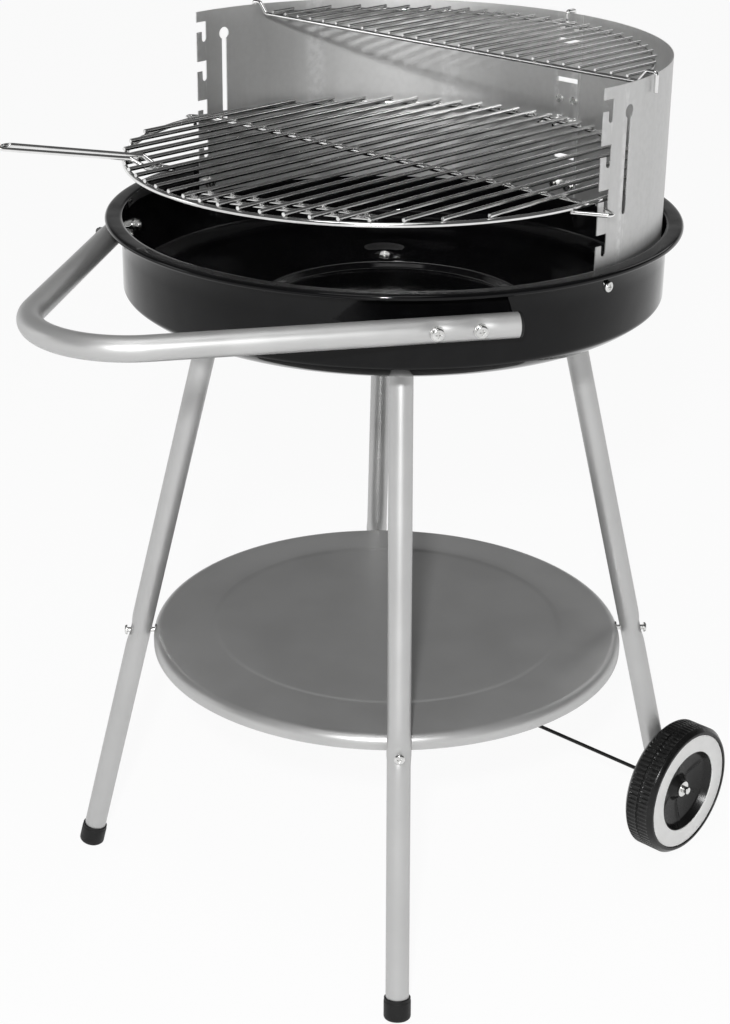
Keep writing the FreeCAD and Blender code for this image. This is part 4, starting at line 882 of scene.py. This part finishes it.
# ---- grid and rack ---------------------------------------------------------------------------------------
@dataclass
class CookingGrid:
    """Round wire grid: ring, bars, cross bar, hanging ears and two wire handles."""

    shop: Workshop

    def build(self) -> None:
        """Carry every wire over as plated wire."""
        for node in ("grid_ring", "grid_bars", "grid_cross_bar", "grid_side_ears", "grid_rear_ear",
                     "grid_handle_outer", "grid_handle_inner"):
            self.shop.refine(node, Slot.CHROME, "cooking_grid", bevel=0.5 * MM)


@dataclass
class WarmingRack:
    """Half-round wire rack that hooks over the windshield."""

    shop: Workshop

    def build(self) -> None:
        """Carry every wire over as plated wire."""
        for node in ("rack_chord", "rack_arc", "rack_rear_hook", "rack_bars"):
            self.shop.refine(node, Slot.CHROME, "warming_rack", bevel=0.4 * MM)


# ---- studio ----------------------------------------------------------------------------------------------
@dataclass
class Studio:
    """Pale floor, white surround, soft lamps and the camera."""

    floor_size: float = 60.0
    camera_from: float = 1.879
    camera_z: float = 1.193
    camera_azimuth: float = 312.0
    yaw: float = -0.72
    pitch: float = 23.39
    roll: float = 0.73
    lens: float = 72.0

    def camera(self) -> bpy.types.Object:
        """The view: turned round the bowl's axis, tilted down, with its small yaw and roll."""
        spot = at_azimuth(self.camera_from, self.camera_azimuth, self.camera_z)
        heading = Matrix.Rotation(math.radians(self.camera_azimuth + 90 - self.yaw), 4, "Z")
        tilt = Matrix.Rotation(math.radians(90 - self.pitch), 4, "X")
        roll = Matrix.Rotation(math.radians(self.roll), 4, "Z")
        data = bpy.data.cameras.new("view")
        data.lens = self.lens
        data.sensor_width = 36.0
        data.clip_end = 200.0
        camera = bpy.data.objects.new("view", data)
        camera.matrix_world = Matrix.Translation(spot) @ heading @ tilt @ roll
        bpy.context.scene.collection.objects.link(camera)
        bpy.context.scene.camera = camera
        return camera

    def lamp(self, name: str, spot: Vector, target: Vector, size: float, power: float) -> None:
        """A square area lamp that faces a target."""
        data = bpy.data.lights.new(name, "AREA")
        data.size = size
        data.energy = power
        lamp = bpy.data.objects.new(name, data)
        lamp.location = spot
        lamp.rotation_mode = "QUATERNION"
        lamp.rotation_quaternion = (target - spot).to_track_quat("-Z", "Y")
        bpy.context.scene.collection.objects.link(lamp)

    def seen(self, sketch: NodeSketch, ray: bpy.types.Node) -> bpy.types.NodeSocket:
        """1 for rays that show the background: from the camera, or by way of metal and glass."""
        indirect = sketch.math("ADD", ray.outputs["Is Glossy Ray"], ray.outputs["Is Transmission Ray"])
        return sketch.math("MINIMUM", sketch.math("ADD", ray.outputs["Is Camera Ray"], indirect), 1.0)

    def floor(self) -> None:
        """A wide pale floor that keeps the shadow and looks white."""
        bm = bmesh.new()
        bmesh.ops.create_grid(bm, x_segments=1, y_segments=1, size=self.floor_size / 2)
        mesh = bpy.data.meshes.new("floor")
        bm.to_mesh(mesh)
        bm.free()
        floor = bpy.data.objects.new("floor", mesh)
        bpy.context.scene.collection.objects.link(floor)
        material = bpy.data.materials.new("floor")
        material.use_nodes = True
        sketch = NodeSketch(material.node_tree)
        lit = sketch.add("ShaderNodeBsdfDiffuse", Color=(0.85, 0.85, 0.85, 1.0))
        glow = sketch.add("ShaderNodeEmission", Color=(1.0, 1.0, 1.0, 1.0), Strength=1.0)
        ray = sketch.add("ShaderNodeLightPath")
        mix = sketch.add("ShaderNodeMixShader")
        sketch.feed(mix, 0, sketch.math("MULTIPLY", self.seen(sketch, ray), 0.94))
        sketch.feed(mix, 1, lit.outputs[0])
        sketch.feed(mix, 2, glow.outputs[0])
        output = sketch.add("ShaderNodeOutputMaterial")
        sketch.feed(output, "Surface", mix.outputs[0])
        mesh.materials.append(material)

    def surround(self) -> None:
        """White for the camera; metal sees white low down and a darker room above; the rest is soft light."""
        world = bpy.data.worlds.new("surround")
        bpy.context.scene.world = world
        world.use_nodes = True
        sketch = NodeSketch(world.node_tree)
        place = sketch.add("ShaderNodeTexCoord")
        split = sketch.add("ShaderNodeSeparateXYZ")
        sketch.feed(split, 0, place.outputs["Generated"])
        soft = sketch.spread(split.outputs["Z"], -0.1, 0.9, 0.14, 0.26)
        room = sketch.spread(split.outputs["Z"], 0.05, 0.32, 1.0, 0.09)
        ray = sketch.add("ShaderNodeLightPath")
        metal = sketch.add("ShaderNodeMix", data_type="FLOAT")
        sketch.feed(metal, 0, self.seen(sketch, ray))
        sketch.feed(metal, 2, soft)
        sketch.feed(metal, 3, room)
        mix = sketch.add("ShaderNodeMix", data_type="FLOAT")
        sketch.feed(mix, 0, ray.outputs["Is Camera Ray"])
        sketch.feed(mix, 2, metal.outputs[0])
        sketch.feed(mix, 3, 1.0)
        background = sketch.add("ShaderNodeBackground", Color=(1.0, 1.0, 1.0, 1.0))
        sketch.feed(background, "Strength", mix.outputs[0])
        output = sketch.add("ShaderNodeOutputWorld")
        sketch.feed(output, "Surface", background.outputs[0])

    def build(self) -> None:
        """Set up the whole studio."""
        self.camera()
        self.floor()
        self.surround()
        middle = BOWL_AXIS + Vector((0, 0, 0.5))
        self.lamp("key", at_azimuth(2.3, 309.0, 1.68), middle, 0.12, 50.0)
        self.lamp("top", at_azimuth(0.7, 300.0, 2.5), middle, 1.0, 8.0)
        self.lamp("side", at_azimuth(2.6, 222.0, 1.3), middle, 0.7, 3.0)
        self.lamp("back", at_azimuth(2.6, 95.0, 2.2), middle, 1.0, 4.0)
        scene = bpy.context.scene
        scene.view_settings.view_transform = "Standard"


def main() -> None:
    """Build every sub-assembly in order, then the studio."""
    logging.basicConfig(level=logging.INFO, format="%(name)s %(message)s")
    shop = Workshop(Paintbox())
    for assembly in (FireBowl, Legs, Shelf, PushHandle, Wheels, Windshield, CookingGrid, WarmingRack):
        assembly(shop).build()
        LOG.info("%s done", assembly.__name__)
    Studio().build()


if __name__ == "__main__":
    main()
